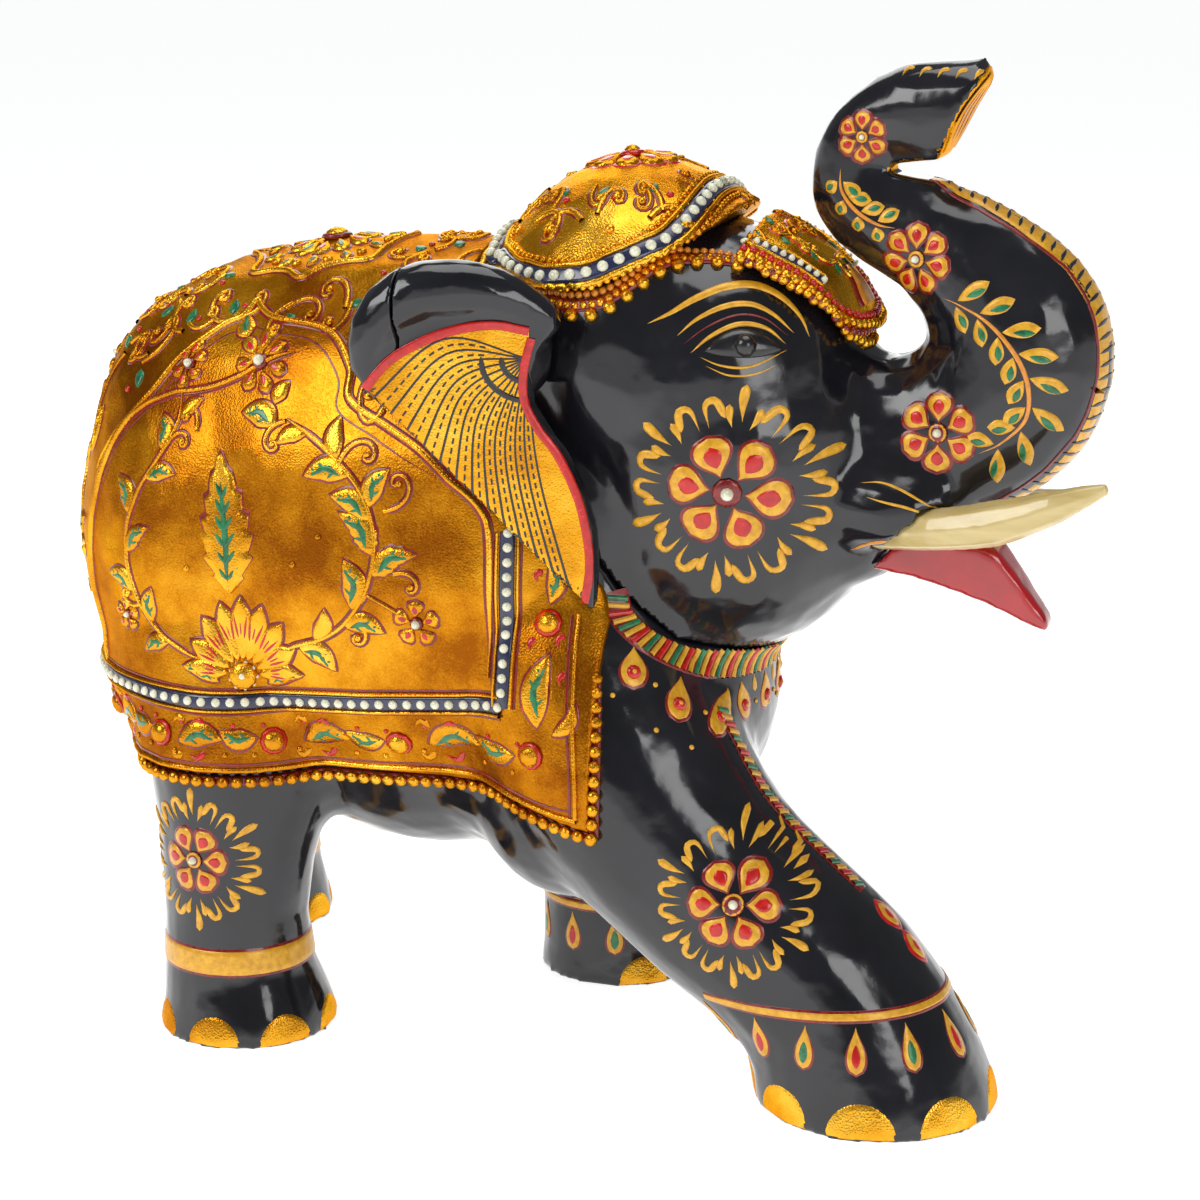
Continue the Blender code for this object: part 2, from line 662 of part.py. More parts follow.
def main():
    clear_scene()
    figure = new_collection("wooden_elephant")
    cutters = new_collection("cutters")
    blank = carve_blank(figure)
    torso, head = split_blocks(place("blocks", blank.data.copy(), figure), cutters, figure)
    cloth = make_cloth(blank, cutters, figure)
    cap, panel = make_headdress(blank, cutters, figure)
    boards = make_ears(blank, cutters, figure)
    tusks = {name: limb(path, figure, sides=2, detail=3) for name, path in TUSKS.items()}
    for name, tusk in tusks.items():
        combine(head, as_cutter(swollen(tusk, GAP, name + "_socket", cutters)), "DIFFERENCE")
    lip = make_lip(blank, cutters, figure)
    bands = make_bands(blank, cap, cutters, figure)
    tail = limb(TAIL, figure, sides=2, detail=3)
    rump = skin(blank, GAP, box_outline(-118, -84, 42, 62), -9, 9, "tail_seat", cutters)
    combine(tail, rump, "DIFFERENCE")
    reach = (Vector(DOWEL[1]) - Vector(DOWEL[0])).normalized() * GAP
    bore = as_cutter(rod(Vector(DOWEL[0]) - reach, Vector(DOWEL[1]) + reach,
                         DOWEL_RADIUS + GAP, "dowel_bore", cutters))
    for block in (torso, head):
        combine(block, bore, "DIFFERENCE")
    dowel = rod(*DOWEL, DOWEL_RADIUS, "neck_dowel", figure)
    bpy.data.objects.remove(blank, do_unlink=True)
    lacquer = finish_material("black_lacquer", LACQUER)
    gold = finish_material("gold_leaf", GOLD)
    bright = finish_material("bright_gold", BRIGHT_GOLD)
    ivory = finish_material("ivory_paint", IVORY)
    dress(torso, "torso_block", lacquer)
    dress(head, "head_block", lacquer)
    dress(cloth, "saddle_cloth", gold)
    dress(cap, "headdress_cap", bright)
    dress(panel, "forehead_panel", bright)
    for name, board in boards.items():
        dress(board, name, gold)
    dress(lip, "lower_lip", finish_material("lip_red", LIP_RED))
    for name, tusk in tusks.items():
        dress(tusk, name, ivory)
    navy = finish_material("navy_enamel", NAVY)
    for name, band in bands.items():
        dress(band, name, navy if name in ("pearl_band", "headdress_band") else bright)
    dress(largest(tail, figure), "tail", lacquer)
    dress(dowel, "neck_dowel", finish_material("bare_wood", BARE_WOOD))


main()
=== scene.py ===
"""Looks for the carved and painted wooden elephant, built on its CAD frame.

Frame: metres, +Z up, +X towards the face, the elephant's right side towards -Y.
Designs are laid out in millimetres, as (x, z) seen from the side unless said otherwise,
then laid on the carved surfaces as low relief.
"""

import math

import bmesh
import bpy
import numpy as np
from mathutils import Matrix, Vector
from mathutils.bvhtree import BVHTree


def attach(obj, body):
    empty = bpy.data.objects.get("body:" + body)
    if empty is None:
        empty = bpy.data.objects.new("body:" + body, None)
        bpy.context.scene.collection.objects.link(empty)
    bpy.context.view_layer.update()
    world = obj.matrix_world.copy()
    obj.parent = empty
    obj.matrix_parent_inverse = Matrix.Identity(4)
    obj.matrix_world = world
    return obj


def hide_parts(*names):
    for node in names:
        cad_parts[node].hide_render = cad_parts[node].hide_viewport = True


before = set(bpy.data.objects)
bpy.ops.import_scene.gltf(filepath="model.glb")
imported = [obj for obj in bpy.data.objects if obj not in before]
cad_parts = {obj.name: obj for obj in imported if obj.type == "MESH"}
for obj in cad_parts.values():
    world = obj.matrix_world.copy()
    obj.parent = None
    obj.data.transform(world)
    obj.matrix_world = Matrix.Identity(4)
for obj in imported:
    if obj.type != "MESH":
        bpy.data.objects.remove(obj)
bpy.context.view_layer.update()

MM = 0.001
REACH = 150.0  # rays start this far outside the figure, mm
SINK = 0.06  # relief edges go this far under the surface, mm
JUMP = 3.5  # a ribbon breaks where its next row is this much further, mm
FEWEST_ROWS = 7  # rows of a short ribbon
FOLLOW = 2.5  # relief follows a surface that is within this distance of it, mm
FACING = 0.2  # least cosine between a surface and the stroke's middle
FULL_HALF = 0.25  # strokes of a smaller half width than this stand lower, mm
CHEST_REACH = 60.0  # rays towards the chest start at this X, mm
FOOT_MARGIN = 8.0  # rays round a foot start this far outside it, mm
GOLD_EDGE = (1.0, 0.66, 0.20, 1.0)  # gold's tint where it is seen at a slant
RIGHT, LEFT = -1, 1
DOWN = -90.0  # turn of a ray that runs down, degrees

# ------------------------------------------------------------------ materials


def new_material(name):
    """An empty node material with a Principled shader."""
    material = bpy.data.materials.new(name)
    material.use_nodes = True
    return material, material.node_tree, material.node_tree.nodes["Principled BSDF"]


def noise_node(tree, scale, detail=4.0, rough=0.55, stretch=None):
    """Object-space noise, scale in cycles per metre."""
    place = tree.nodes.new("ShaderNodeTexCoord")
    noise = tree.nodes.new("ShaderNodeTexNoise")
    noise.inputs["Scale"].default_value = scale
    noise.inputs["Detail"].default_value = detail
    noise.inputs["Roughness"].default_value = rough
    if stretch:
        mapping = tree.nodes.new("ShaderNodeMapping")
        mapping.inputs["Scale"].default_value = stretch
        tree.links.new(place.outputs["Object"], mapping.inputs["Vector"])
        tree.links.new(mapping.outputs["Vector"], noise.inputs["Vector"])
    else:
        tree.links.new(place.outputs["Object"], noise.inputs["Vector"])
    return noise


def ramp_node(tree, source, stops):
    """A colour ramp fed by a socket; stops are (position, (r, g, b))."""
    ramp = tree.nodes.new("ShaderNodeValToRGB")
    marks = ramp.color_ramp.elements
    while len(marks) < len(stops):
        marks.new(0.5)
    for mark, (position, colour) in zip(marks, stops):
        mark.position = position
        mark.color = (*colour, 1.0)
    tree.links.new(source, ramp.inputs["Fac"])
    return ramp


def colour_by(tree, shader, source, stops):
    """Base colour from a ramp that a socket feeds."""
    ramp = ramp_node(tree, source, stops)
    tree.links.new(ramp.outputs["Color"], shader.inputs["Base Color"])


def rough_by(tree, shader, source, low, high):
    """Roughness between two values, from a 0 to 1 socket."""
    span = tree.nodes.new("ShaderNodeMapRange")
    span.inputs["To Min"].default_value = low
    span.inputs["To Max"].default_value = high
    tree.links.new(source, span.inputs["Value"])
    tree.links.new(span.outputs["Result"], shader.inputs["Roughness"])


def constants(shader, values):
    """Set shader sockets that are the same all over the surface."""
    for socket, value in values.items():
        shader.inputs[socket].default_value = value


def bump_chain(tree, shader, layers):
    """Bumps from (socket, height in metres) layers into the shader's normal."""
    last = None
    for source, height in layers:
        bump = tree.nodes.new("ShaderNodeBump")
        bump.inputs["Strength"].default_value = 1.0
        bump.inputs["Distance"].default_value = height
        tree.links.new(source, bump.inputs["Height"])
        if last:
            tree.links.new(last.outputs["Normal"], bump.inputs["Normal"])
        last = bump
    tree.links.new(last.outputs["Normal"], shader.inputs["Normal"])


def lacquer_material():
    """Deep black gloss lacquer brushed over wood."""
    material, tree, shader = new_material("black_lacquer_gloss")
    cloud = noise_node(tree, 60.0, 3.0)
    colour_by(tree, shader, cloud.outputs["Fac"], (
        (0.30, (0.004, 0.004, 0.006)), (0.70, (0.011, 0.011, 0.015))))
    sheen = noise_node(tree, 220.0, 4.0)
    rough_by(tree, shader, sheen.outputs["Fac"], 0.07, 0.20)
    constants(shader, {"IOR": 1.52, "Coat Weight": 0.2, "Coat Roughness": 0.05})
    sag = noise_node(tree, 95.0, 2.0)
    dust = noise_node(tree, 900.0, 2.0)
    bump_chain(tree, shader, (
        (sag.outputs["Fac"], 0.00045), (dust.outputs["Fac"], 0.000012)))
    return material


def leaf_material(name, deep, middle, bright, rough, grain):
    """Gold leaf or bronze paint: mottled metal with fine glittering grain."""
    material, tree, shader = new_material(name)
    cloud = noise_node(tree, 42.0, 6.0, 0.6)
    grit = noise_node(tree, 2600.0, 2.0, 0.7)
    mix = tree.nodes.new("ShaderNodeMath")
    mix.operation = "MULTIPLY_ADD"
    tree.links.new(grit.outputs["Fac"], mix.inputs[0])
    mix.inputs[1].default_value = grain
    tree.links.new(cloud.outputs["Fac"], mix.inputs[2])
    colour_by(tree, shader, mix.outputs["Value"], (
        (0.38 + grain / 2, deep), (0.52 + grain / 2, middle), (0.68 + grain / 2, bright)))
    rough_by(tree, shader, grit.outputs["Fac"], rough - 0.12, rough + 0.14)
    constants(shader, {"Specular Tint": GOLD_EDGE, "Metallic": 0.9})
    flake = tree.nodes.new("ShaderNodeTexVoronoi")
    flake.inputs["Scale"].default_value = 2400.0
    place = tree.nodes.new("ShaderNodeTexCoord")
    tree.links.new(place.outputs["Object"], flake.inputs["Vector"])
    wave = noise_node(tree, 160.0, 3.0)
    bump_chain(tree, shader, (
        (wave.outputs["Fac"], 0.00018), (flake.outputs["Distance"], 0.00006)))
    return material


def paint_material(name, dark, light, rough, coat=0.3, scale=500.0, metal=0.0):
    """Brushed enamel paint with a slightly uneven tone."""
    material, tree, shader = new_material(name)
    cloud = noise_node(tree, scale, 4.0, 0.6)
    colour_by(tree, shader, cloud.outputs["Fac"], ((0.34, dark), (0.66, light)))
    rough_by(tree, shader, cloud.outputs["Fac"], rough, rough + 0.12)
    constants(shader, {"Metallic": metal, "Coat Weight": coat, "Coat Roughness": 0.12})
    bump_chain(tree, shader, ((cloud.outputs["Fac"], 0.00005),))
    return material


def tusk_material():
    """Cream gloss paint with faint streaks along the tusk."""
    material, tree, shader = new_material("tusk_cream_gloss")
    streak = noise_node(tree, 260.0, 4.0, 0.6, (0.16, 1.0, 1.0))
    colour_by(tree, shader, streak.outputs["Fac"], (
        (0.30, (0.50, 0.37, 0.13)), (0.70, (0.66, 0.53, 0.24))))
    constants(shader, {"Roughness": 0.24, "Coat Weight": 0.5, "Subsurface Weight": 0.15,
                       "Subsurface Radius": (0.003, 0.002, 0.001)})
    bump_chain(tree, shader, ((streak.outputs["Fac"], 0.00008),))
    return material


MATERIALS = {
    "lacquer": lacquer_material(),
    "leaf": leaf_material("cloth_gold_leaf", (0.28, 0.075, 0.003), (0.52, 0.19, 0.006),
                          (0.76, 0.36, 0.018), 0.34, 0.30),
    "gold": leaf_material("raised_bright_gold", (0.50, 0.18, 0.008), (0.78, 0.36, 0.02),
                          (0.95, 0.56, 0.06), 0.26, 0.12),
    "yellow": paint_material("gold_paint_on_lacquer", (0.58, 0.27, 0.008),
                             (0.80, 0.42, 0.022), 0.30, 0.2, 700.0, 0.15),
    "orange": paint_material("orange_gold_paint", (0.62, 0.20, 0.015), (0.80, 0.33, 0.03),
                             0.25, 0.4, 700.0, 0.15),
    "maroon": paint_material("maroon_enamel", (0.13, 0.003, 0.003), (0.27, 0.008, 0.006), 0.22),
    "red": paint_material("red_enamel", (0.40, 0.003, 0.002), (0.60, 0.008, 0.004), 0.20),
    "green": paint_material("green_enamel", (0.004, 0.085, 0.030), (0.015, 0.22, 0.075), 0.22),
    "navy": paint_material("navy_enamel", (0.006, 0.008, 0.030), (0.016, 0.022, 0.085), 0.18, 0.6),
    "black": paint_material("black_line_paint", (0.004, 0.004, 0.005), (0.012, 0.012, 0.014), 0.18),
    "pearl": paint_material("cream_pearl_slip", (0.62, 0.62, 0.44), (0.84, 0.84, 0.66), 0.16, 0.8),
    "lip": paint_material("lip_red_gloss", (0.34, 0.001, 0.003), (0.46, 0.002, 0.006),
                          0.10, 0.9, 120.0),
    "ivory": tusk_material(),
    "wood": paint_material("bare_dowel_wood", (0.40, 0.27, 0.15), (0.60, 0.44, 0.28), 0.6, 0.0),
}

# -------------------------------------------------------------- base shapes


def new_object(name, mesh):
    """A named object in the scene."""
    made = bpy.data.objects.new(name, mesh)
    bpy.context.scene.collection.objects.link(made)
    return made


def node_shape(names):
    """The CAD meshes of some nodes in one welded bmesh."""
    shape = bmesh.new()
    for name in names:
        shape.from_mesh(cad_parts[name].data)
    bmesh.ops.remove_doubles(shape, verts=shape.verts, dist=0.00001)
    return shape


def refined(name, nodes, voxel, rounds):
    """A fine smooth copy of CAD nodes: voxel skin, then a light sanding."""
    shape = node_shape(nodes)
    mesh = bpy.data.meshes.new(name)
    shape.to_mesh(mesh)
    shape.free()
    thing = new_object(name, mesh)
    remesh = thing.modifiers.new("Skin", "REMESH")
    remesh.mode = "VOXEL"
    remesh.voxel_size = voxel * MM
    sand = thing.modifiers.new("Sand", "SMOOTH")
    sand.factor = 0.5
    sand.iterations = rounds
    bpy.context.view_layer.update()
    graph = bpy.context.evaluated_depsgraph_get()
    final = bpy.data.meshes.new_from_object(thing.evaluated_get(graph), depsgraph=graph)
    thing.modifiers.clear()
    thing.data = final
    final.shade_smooth()
    return thing


def settle(thing, look, nodes=()):
    """Give a piece its material, tie it to the CAD frame, and hide the CAD nodes it stands for."""
    thing.data.materials.clear()
    thing.data.materials.append(MATERIALS[look])
    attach(thing, "root")
    if nodes:
        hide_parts(*nodes)
    return thing


def tree_of(*things):
    """One searchable surface over several mesh objects."""
    points, faces = [], []
    for thing in things:
        base = len(points)
        points += [v.co.copy() for v in thing.data.vertices]
        faces += [[base + i for i in f.vertices] for f in thing.data.polygons]
    return BVHTree.FromPolygons(points, faces)


def skin(name, node, look, voxel, rounds):
    """A smooth visible piece that stands for one CAD node."""
    return settle(refined(name, [node], voxel, rounds), look, [node])


BLOCK_SKIN, LAYER_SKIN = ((1.0, 0.55))
torso = skin("body_and_legs", "torso_block", "lacquer", BLOCK_SKIN, 5)
head = skin("head_and_trunk", "head_block", "lacquer", BLOCK_SKIN * 0.8, 5)
cloth = skin("saddle_cloth_leaf", "saddle_cloth", "leaf", LAYER_SKIN, 5)
cap = skin("cap_dome", "headdress_cap", "gold", LAYER_SKIN, 4)
brow_plate = skin("forehead_plate", "forehead_panel", "gold", LAYER_SKIN, 4)
skin("lower_lip_wedge", "lower_lip", "lip", 0.6, 5)
for side in ("right", "left"):
    for board in ("ear_", "ear_tip_"):
        skin(f"{board}{side}_board", board + side, "lacquer", 0.5, 4)
for side in ("right", "left"):
    skin(f"tusk_{side}_ivory", f"tusk_{side}", "ivory", 0.45, 6)
skin("tail_lacquer", "tail", "lacquer", 0.5, 4)
skin("neck_dowel_wood", "neck_dowel", "wood", 0.5, 2)

ear_forms = [refined(f"ear_form_{side}", ["ear_" + side, "ear_tip_" + side], 0.6, 4)
             for side in ("right", "left")]
block_form = refined("block_form", ["torso_block", "head_block"], BLOCK_SKIN, 5)
TORSO = tree_of(torso)
HEAD = tree_of(head)
BLOCKS = tree_of(block_form)
CLOTH = tree_of(cloth)
CAP = tree_of(cap)
PLATE = tree_of(brow_plate)
BROW = tree_of(brow_plate, head)
CROWN = tree_of(cap, head, brow_plate)
EAR = {RIGHT: tree_of(ear_forms[0]), LEFT: tree_of(ear_forms[1])}
for form in (*ear_forms, block_form):
    bpy.data.objects.remove(form, do_unlink=True)

# ------------------------------------------------------------ relief helpers


class Layer:
    """One named piece of relief in one material, gathered from many strokes."""

    made = {}

    def __init__(self, name, look):
        self.name, self.look = name, look
        self.points, self.faces = [], []

    @classmethod
    def get(cls, name, look):
        """The layer of a piece name and a material."""
        key = f"{name}_{look}"
        if key not in cls.made:
            cls.made[key] = cls(key, look)
        return cls.made[key]

    def add(self, points, faces):
        """Add points in metres and faces that index them."""
        base = len(self.points)
        self.points += points
        self.faces += [[base + i for i in face] for face in faces]

    def build(self, nodes=()):
        """Make the mesh object."""
        mesh = bpy.data.meshes.new(self.name)
        mesh.from_pydata(self.points, [], self.faces)
        shape = bmesh.new()
        shape.from_mesh(mesh)
        bmesh.ops.recalc_face_normals(shape, faces=shape.faces)
        shape.to_mesh(mesh)
        shape.free()
        mesh.shade_smooth()
        return settle(new_object(self.name, mesh), self.look, nodes)


def catmull(knots, steps):
    """A smooth curve through knots of any dimension, steps per span."""
    knots = [np.array(k, dtype=float) for k in knots]
    if len(knots) < 3:
        return [knots[0] + (knots[-1] - knots[0]) * i / steps for i in range(steps + 1)]
    ends = [2 * knots[0] - knots[1]] + knots + [2 * knots[-1] - knots[-2]]
    path = []
    for a, b, c, d in zip(ends, ends[1:], ends[2:], ends[3:]):
        for i in range(steps):
            t = i / steps
            path.append(0.5 * (2 * b + (c - a) * t + (2 * a - 5 * b + 4 * c - d) * t * t
                               + (3 * b - a - 3 * c + d) * t ** 3))
    return path + [knots[-1]]


def even(path, pitch):
    """Points at a near-even pitch along a path."""
    path = np.array(path, dtype=float)
    run = np.concatenate([[0.0], np.cumsum(np.linalg.norm(np.diff(path, axis=0), axis=1))])
    count = max(2, int(round(run[-1] / pitch)) + 1)
    marks = np.linspace(0.0, run[-1], count)
    return np.stack([np.interp(marks, run, path[:, k]) for k in range(path.shape[1])], axis=1)


def cast(tree, start, way, reach=math.inf):
    """Where a ray from a place in mm meets a surface within its reach, and the normal there."""
    hit, normal, index, far = tree.ray_cast(Vector(start) * MM, Vector(way))
    return (hit, normal) if hit and far < reach * MM else (None, None)


def seen_along(tree, place, way):
    """A placer whose rays run one way, from the place in mm that a design point gives."""
    return lambda spot: cast(tree, place(*spot), way)


def side_on(tree, hand):
    """A placer for (x, z) designs, seen from one side."""
    return seen_along(tree, lambda x, z: (x, hand * REACH, z), (0.0, -hand, 0.0))


def top_on(tree, hand=1):
    """A placer for (x, y) designs, seen from above; hand -1 mirrors them."""
    return seen_along(tree, lambda x, y: (x, hand * y, 2 * REACH), (0.0, 0.0, -1.0))


def front_on(tree):
    """A placer for (y, z) designs, seen from the front."""
    return seen_along(tree, lambda y, z: (CHEST_REACH, y, z), (-1.0, 0.0, 0.0))


def round_on(tree, centre, radius):
    """A placer for (arc, z) designs round an upright axis, arc in mm from +X."""
    def put(spot):
        turn = spot[0] / radius
        out = Vector((math.cos(turn), math.sin(turn), 0.0))
        middle = Vector((centre[0], centre[1], spot[1]))
        return cast(tree, middle + out * (radius + FOOT_MARGIN), -out, 2 * radius)
    return put


RUMP_X, RUMP_RADIUS = -62.0, 44.0


def wrap_on(tree, hand):
    """A placer for (u, z): u is X ahead of the rump's centre, and arc round it behind."""
    def put(spot):
        u, z = spot
        if u >= RUMP_X:
            out, middle = Vector((0.0, hand, 0.0)), Vector((u, 0.0, z))
        else:
            turn = (RUMP_X - u) / RUMP_RADIUS
            out = Vector((-math.sin(turn), hand * math.cos(turn), 0.0))
            middle = Vector((RUMP_X, 0.0, z))
        return cast(tree, middle + out * REACH, -out)
    return put


def snap(tree):
    """A placer for (x, y, z) designs: the nearest spot on the surface."""
    def put(spot):
        hit, normal, index, far = tree.find_nearest(Vector(spot) * MM)
        return hit, normal
    return put


DOME = ((-1.0, 0.0), (-0.86, 0.55), (-0.5, 0.88), (0.0, 1.0), (0.5, 0.88), (0.86, 0.55), (1.0, 0.0))
FLAT = ((-1.0, 0.0), (-0.9, 0.9), (-0.5, 1.0), (0.0, 1.0), (0.5, 1.0), (0.9, 0.9), (1.0, 0.0))
GROOVE = ((-1.0, 0.0), (-0.86, 0.8), (-0.5, 1.0), (0.0, 0.45), (0.5, 1.0), (0.86, 0.8), (1.0, 0.0))


def ribbon(layer, tree, put, path, width, height, section=DOME, base=0.0):
    """Relief along a path of design points. width(t) is the half width in mm."""
    rows = []
    spots = [put(spot) for spot in path]
    spots = [(hit, normal) for hit, normal in spots if hit is not None]
    if len(spots) < 2:
        return
    last = len(spots) - 1
    for i, (hit, normal) in enumerate(spots):
        ahead = spots[min(i + 1, last)][0] - spots[max(i - 1, 0)][0]
        if ahead.length < 1e-9:
            continue
        across = normal.cross(ahead).normalized()
        half = max(width(i / last), 0.0)
        row = []
        for s, rise in section:
            aim = hit + across * (s * half * MM)
            near, slope, index, far = tree.find_nearest(aim)
            if near is None or (near - aim).length > FOLLOW * MM:
                near, slope = aim, normal
            if slope.dot(normal) < FACING:
                slope = normal
            thick = rise * height * min(1.0, half / FULL_HALF)
            row.append(near + slope * ((base + thick - SINK * (rise == 0.0)) * MM))
        rows.append(row)
    points = [tuple(p) for row in rows for p in row]
    n = len(section)
    faces = []
    for r in range(len(rows) - 1):
        if (rows[r + 1][n // 2] - rows[r][n // 2]).length > JUMP * MM:
            continue
        for c in range(n - 1):
            a = r * n + c
            faces.append((a, a + 1, a + n + 1, a + n))
    layer.add(points, faces)


def even_width(half):
    """A cord of one width with short tapered ends."""
    return lambda t: half * min(1.0, 0.25 + 8.0 * t, 0.25 + 8.0 * (1.0 - t))


def drop_width(half, fullest=0.72):
    """A teardrop that starts as a point and ends round."""
    def width(t):
        if t < fullest:
            return half * (math.sin(0.5 * math.pi * t / fullest)) ** 1.35
        return half * math.sqrt(max(0.0, 1.0 - ((t - fullest) / (1.0 - fullest)) ** 2))
    return width


def leaf_width(half, fullest=0.42):
    """A leaf that is pointed at both ends."""
    def width(t):
        k = t / fullest if t < fullest else (1.0 - t) / (1.0 - fullest)
        return half * math.sin(0.5 * math.pi * max(k, 0.0)) ** 0.85
    return width


def comb_width(half, teeth):
    """A serrated leaf."""
    smooth = leaf_width(half, 0.35)
    return lambda t: smooth(t) * (0.74 + 0.26 * ((t * teeth) % 1.0))


def polar(centre, reach, turn):
    """The point at a distance and an angle, in degrees, from a centre."""
    a = math.radians(turn)
    return (centre[0] + reach * math.cos(a), centre[1] + reach * math.sin(a))


def bead(layer, hit, normal, radius, squash=0.8, rings=6, sectors=10):
    """A drop of slip: a flattened ball half sunk in the surface."""
    side = normal.orthogonal().normalized()
    other = normal.cross(side)
    middle = hit + normal * (radius * squash * 0.3 * MM)
    points = [tuple(middle + normal * (radius * squash * MM))]
    for r in range(1, rings):
        lat = math.pi * r / rings
        for s in range(sectors):
            lon = 2 * math.pi * s / sectors
            flat = (side * math.cos(lon) + other * math.sin(lon)) * math.sin(lat)
            up = normal * (math.cos(lat) * squash)
            points.append(tuple(middle + (flat + up) * (radius * MM)))
    points.append(tuple(middle - normal * (radius * squash * MM)))
    faces = [(0, 1 + s, 1 + (s + 1) % sectors) for s in range(sectors)]
    for r in range(rings - 2):
        for s in range(sectors):
            a, b = 1 + r * sectors + s, 1 + r * sectors + (s + 1) % sectors
            faces.append((a, a + sectors, b + sectors, b))
    low = len(points) - 1
    tail = 1 + (rings - 2) * sectors
    faces += [(low, tail + (s + 1) % sectors, tail + s) for s in range(sectors)]
    layer.add(points, faces)


def beads_on(layer, tree, put, path, pitch, radius, squash=0.8, lift=0.0, out=0.0, skip=0):
    """Drops along a design path, lift mm above the surface, the first few skipped.

    The pitch is even along the path raised out mm above the surface.
    """
    hits = [put(spot) for spot in path]
    hits = [np.array(hit + normal * out * MM) / MM for hit, normal in hits if hit is not None]
    if len(hits) < 2:
        return
    near = snap(tree)
    for spot in even(hits, pitch)[skip:]:
        hit, normal = near(spot)
        bead(layer, hit + normal * lift * MM, normal, radius, squash)


class Brush:
    """Strokes on one surface with one placer, gathered under one piece name."""

    def __init__(self, name, tree, put):
        self.name, self.tree, self.put = name, tree, put

    def stroke(self, look, knots, width, height=0.3, section=DOME, base=0.0, pitch=0.7):
        """A ribbon through knots."""
        line = catmull(knots, 8) if len(knots) > 2 else knots
        path = even(line, pitch)
        if len(path) < FEWEST_ROWS:
            length = np.linalg.norm(np.diff(path, axis=0), axis=1).sum()
            path = even(line, length / FEWEST_ROWS)
        ribbon(Layer.get(self.name, look), self.tree, self.put, path, width, height, section, base)

    def ray(self, centre, turn, layers):
        """Strokes one over the other along a ray: (look, from, to, then as for a stroke)."""
        for look, start, end, *more in layers:
            self.stroke(look, (polar(centre, start, turn), polar(centre, end, turn)), *more)

    def dot(self, look, spot, radius, squash=0.6):
        """One drop at a design point."""
        hit, normal = self.put(spot)
        if hit is not None:
            bead(Layer.get(self.name, look), hit, normal, radius, squash)

    def row(self, look, knots, pitch, radius, squash=0.8, **more):
        """A row of drops."""
        beads_on(Layer.get(self.name, look), self.tree, self.put, catmull(knots, 12), pitch,
                 radius, squash, **more)

    def patch(self, look, outline, centre, height, rings=6):
        """A thin flat area inside an outline that is star-shaped round its centre."""
        layer = Layer.get(self.name, look)
        centre = np.array(centre, dtype=float)
        rim = [np.array(p, dtype=float) for p in outline]
        points = []
        for p in rim:
            column = []
            for r in range(rings, -1, -1):
                hit, normal = self.put(centre + (p - centre) * max(1.0 - r / rings, 0.001))
                rise = -SINK if r == 0 else height
                if hit is None:
                    column.append(column[-1])
                    continue
                column.append(tuple(hit + normal * (rise * MM)))
            points.append(column[::-1])
        points = [points[k][r] for r in range(rings + 1) for k in range(len(rim))]
        n = len(rim)
        faces = []
        for r in range(rings):
            for k in range(n):
                a, b = r * n + k, r * n + (k + 1) % n
                faces.append((a, b, b + n, a + n))
        layer.add(points, faces)


# ------------------------------------------------------------------- motifs


def flower(brush, centre, petals, radius, start):
    """A painted flower: dark-edged gold petals with red hearts, and a bead in a gold ring."""
    half = min(math.pi * radius * 0.66 / petals, 0.335 * radius)
    for k in range(petals):
        brush.ray(centre, start + 360.0 * k / petals, (
            ("maroon", 0.30 * radius - 0.5, radius + 0.6, drop_width(half + 0.75, 0.62), 0.10, FLAT),
            ("yellow", 0.30 * radius, radius, drop_width(half, 0.64), 0.35, DOME, 0.08),
            ("red", 0.454 * radius, 0.846 * radius, leaf_width(half * 0.50, 0.6), 0.16, DOME, 0.402)))
    ring = [polar(centre, radius * 0.19, 30.0 * k) for k in range(13)]
    brush.dot("maroon", centre, radius * 0.27, 0.25)
    brush.stroke("yellow", ring, lambda t: radius * 0.055, 0.3, DOME, 0.25)
    brush.dot("pearl", centre, radius * 0.12, 1.6)


def bent(start, end, bend, share=0.5):
    """The point at a share of the way between two points, moved aside by a share of it."""
    x, z = end[0] - start[0], end[1] - start[1]
    return (start[0] + x * share - z * bend, start[1] + z * share + x * bend)


def comma(brush, look, start, end, half, bend):
    """A comma stroke: a thin curved start and a round end."""
    brush.stroke(look, (start, bent(start, end, bend), end), drop_width(half, 0.76), 0.35)


def hook(brush, centre, turn, way, low, high, size):
    """A hooked comma that starts at a petal's tip and ends in a round head."""
    rise = high - low
    knots = (polar(centre, low, turn + way * 4.0), polar(centre, low + 0.55 * rise, turn + way * 5.0),
             polar(centre, low + 0.62 * rise, turn + way * 12.0),
             polar(centre, low + 0.20 * rise, turn + way * 17.5))
    brush.stroke("yellow", knots, drop_width(0.68 * size, 0.76), 0.35)


def burst(brush, centre, low, high, start, size=1.0):
    """Long drops with small drops beside them, and a pair of hooks over each of six petals."""
    for k in range(6):
        turn = start + 60.0 * k
        comma(brush, "yellow", polar(centre, low + 0.6, turn), polar(centre, high, turn + 2.0),
              0.84 * size, 0.04)
        for way in (-1, 1):
            comma(brush, "yellow", polar(centre, low - 0.6, turn + way * 7.0),
                  polar(centre, (low + high) / 2, turn + way * 10.0), 0.66 * size, way * 0.06)
            hook(brush, centre, turn + 30.0, way, low - 0.4, high, size)


def cord(brush, knots, half, height):
    """A raised gold cord with dark lines at both its edges."""
    brush.stroke("maroon", knots, even_width(half + 0.55), 0.10, FLAT)
    brush.stroke("gold", knots, even_width(half), height, DOME, 0.02)


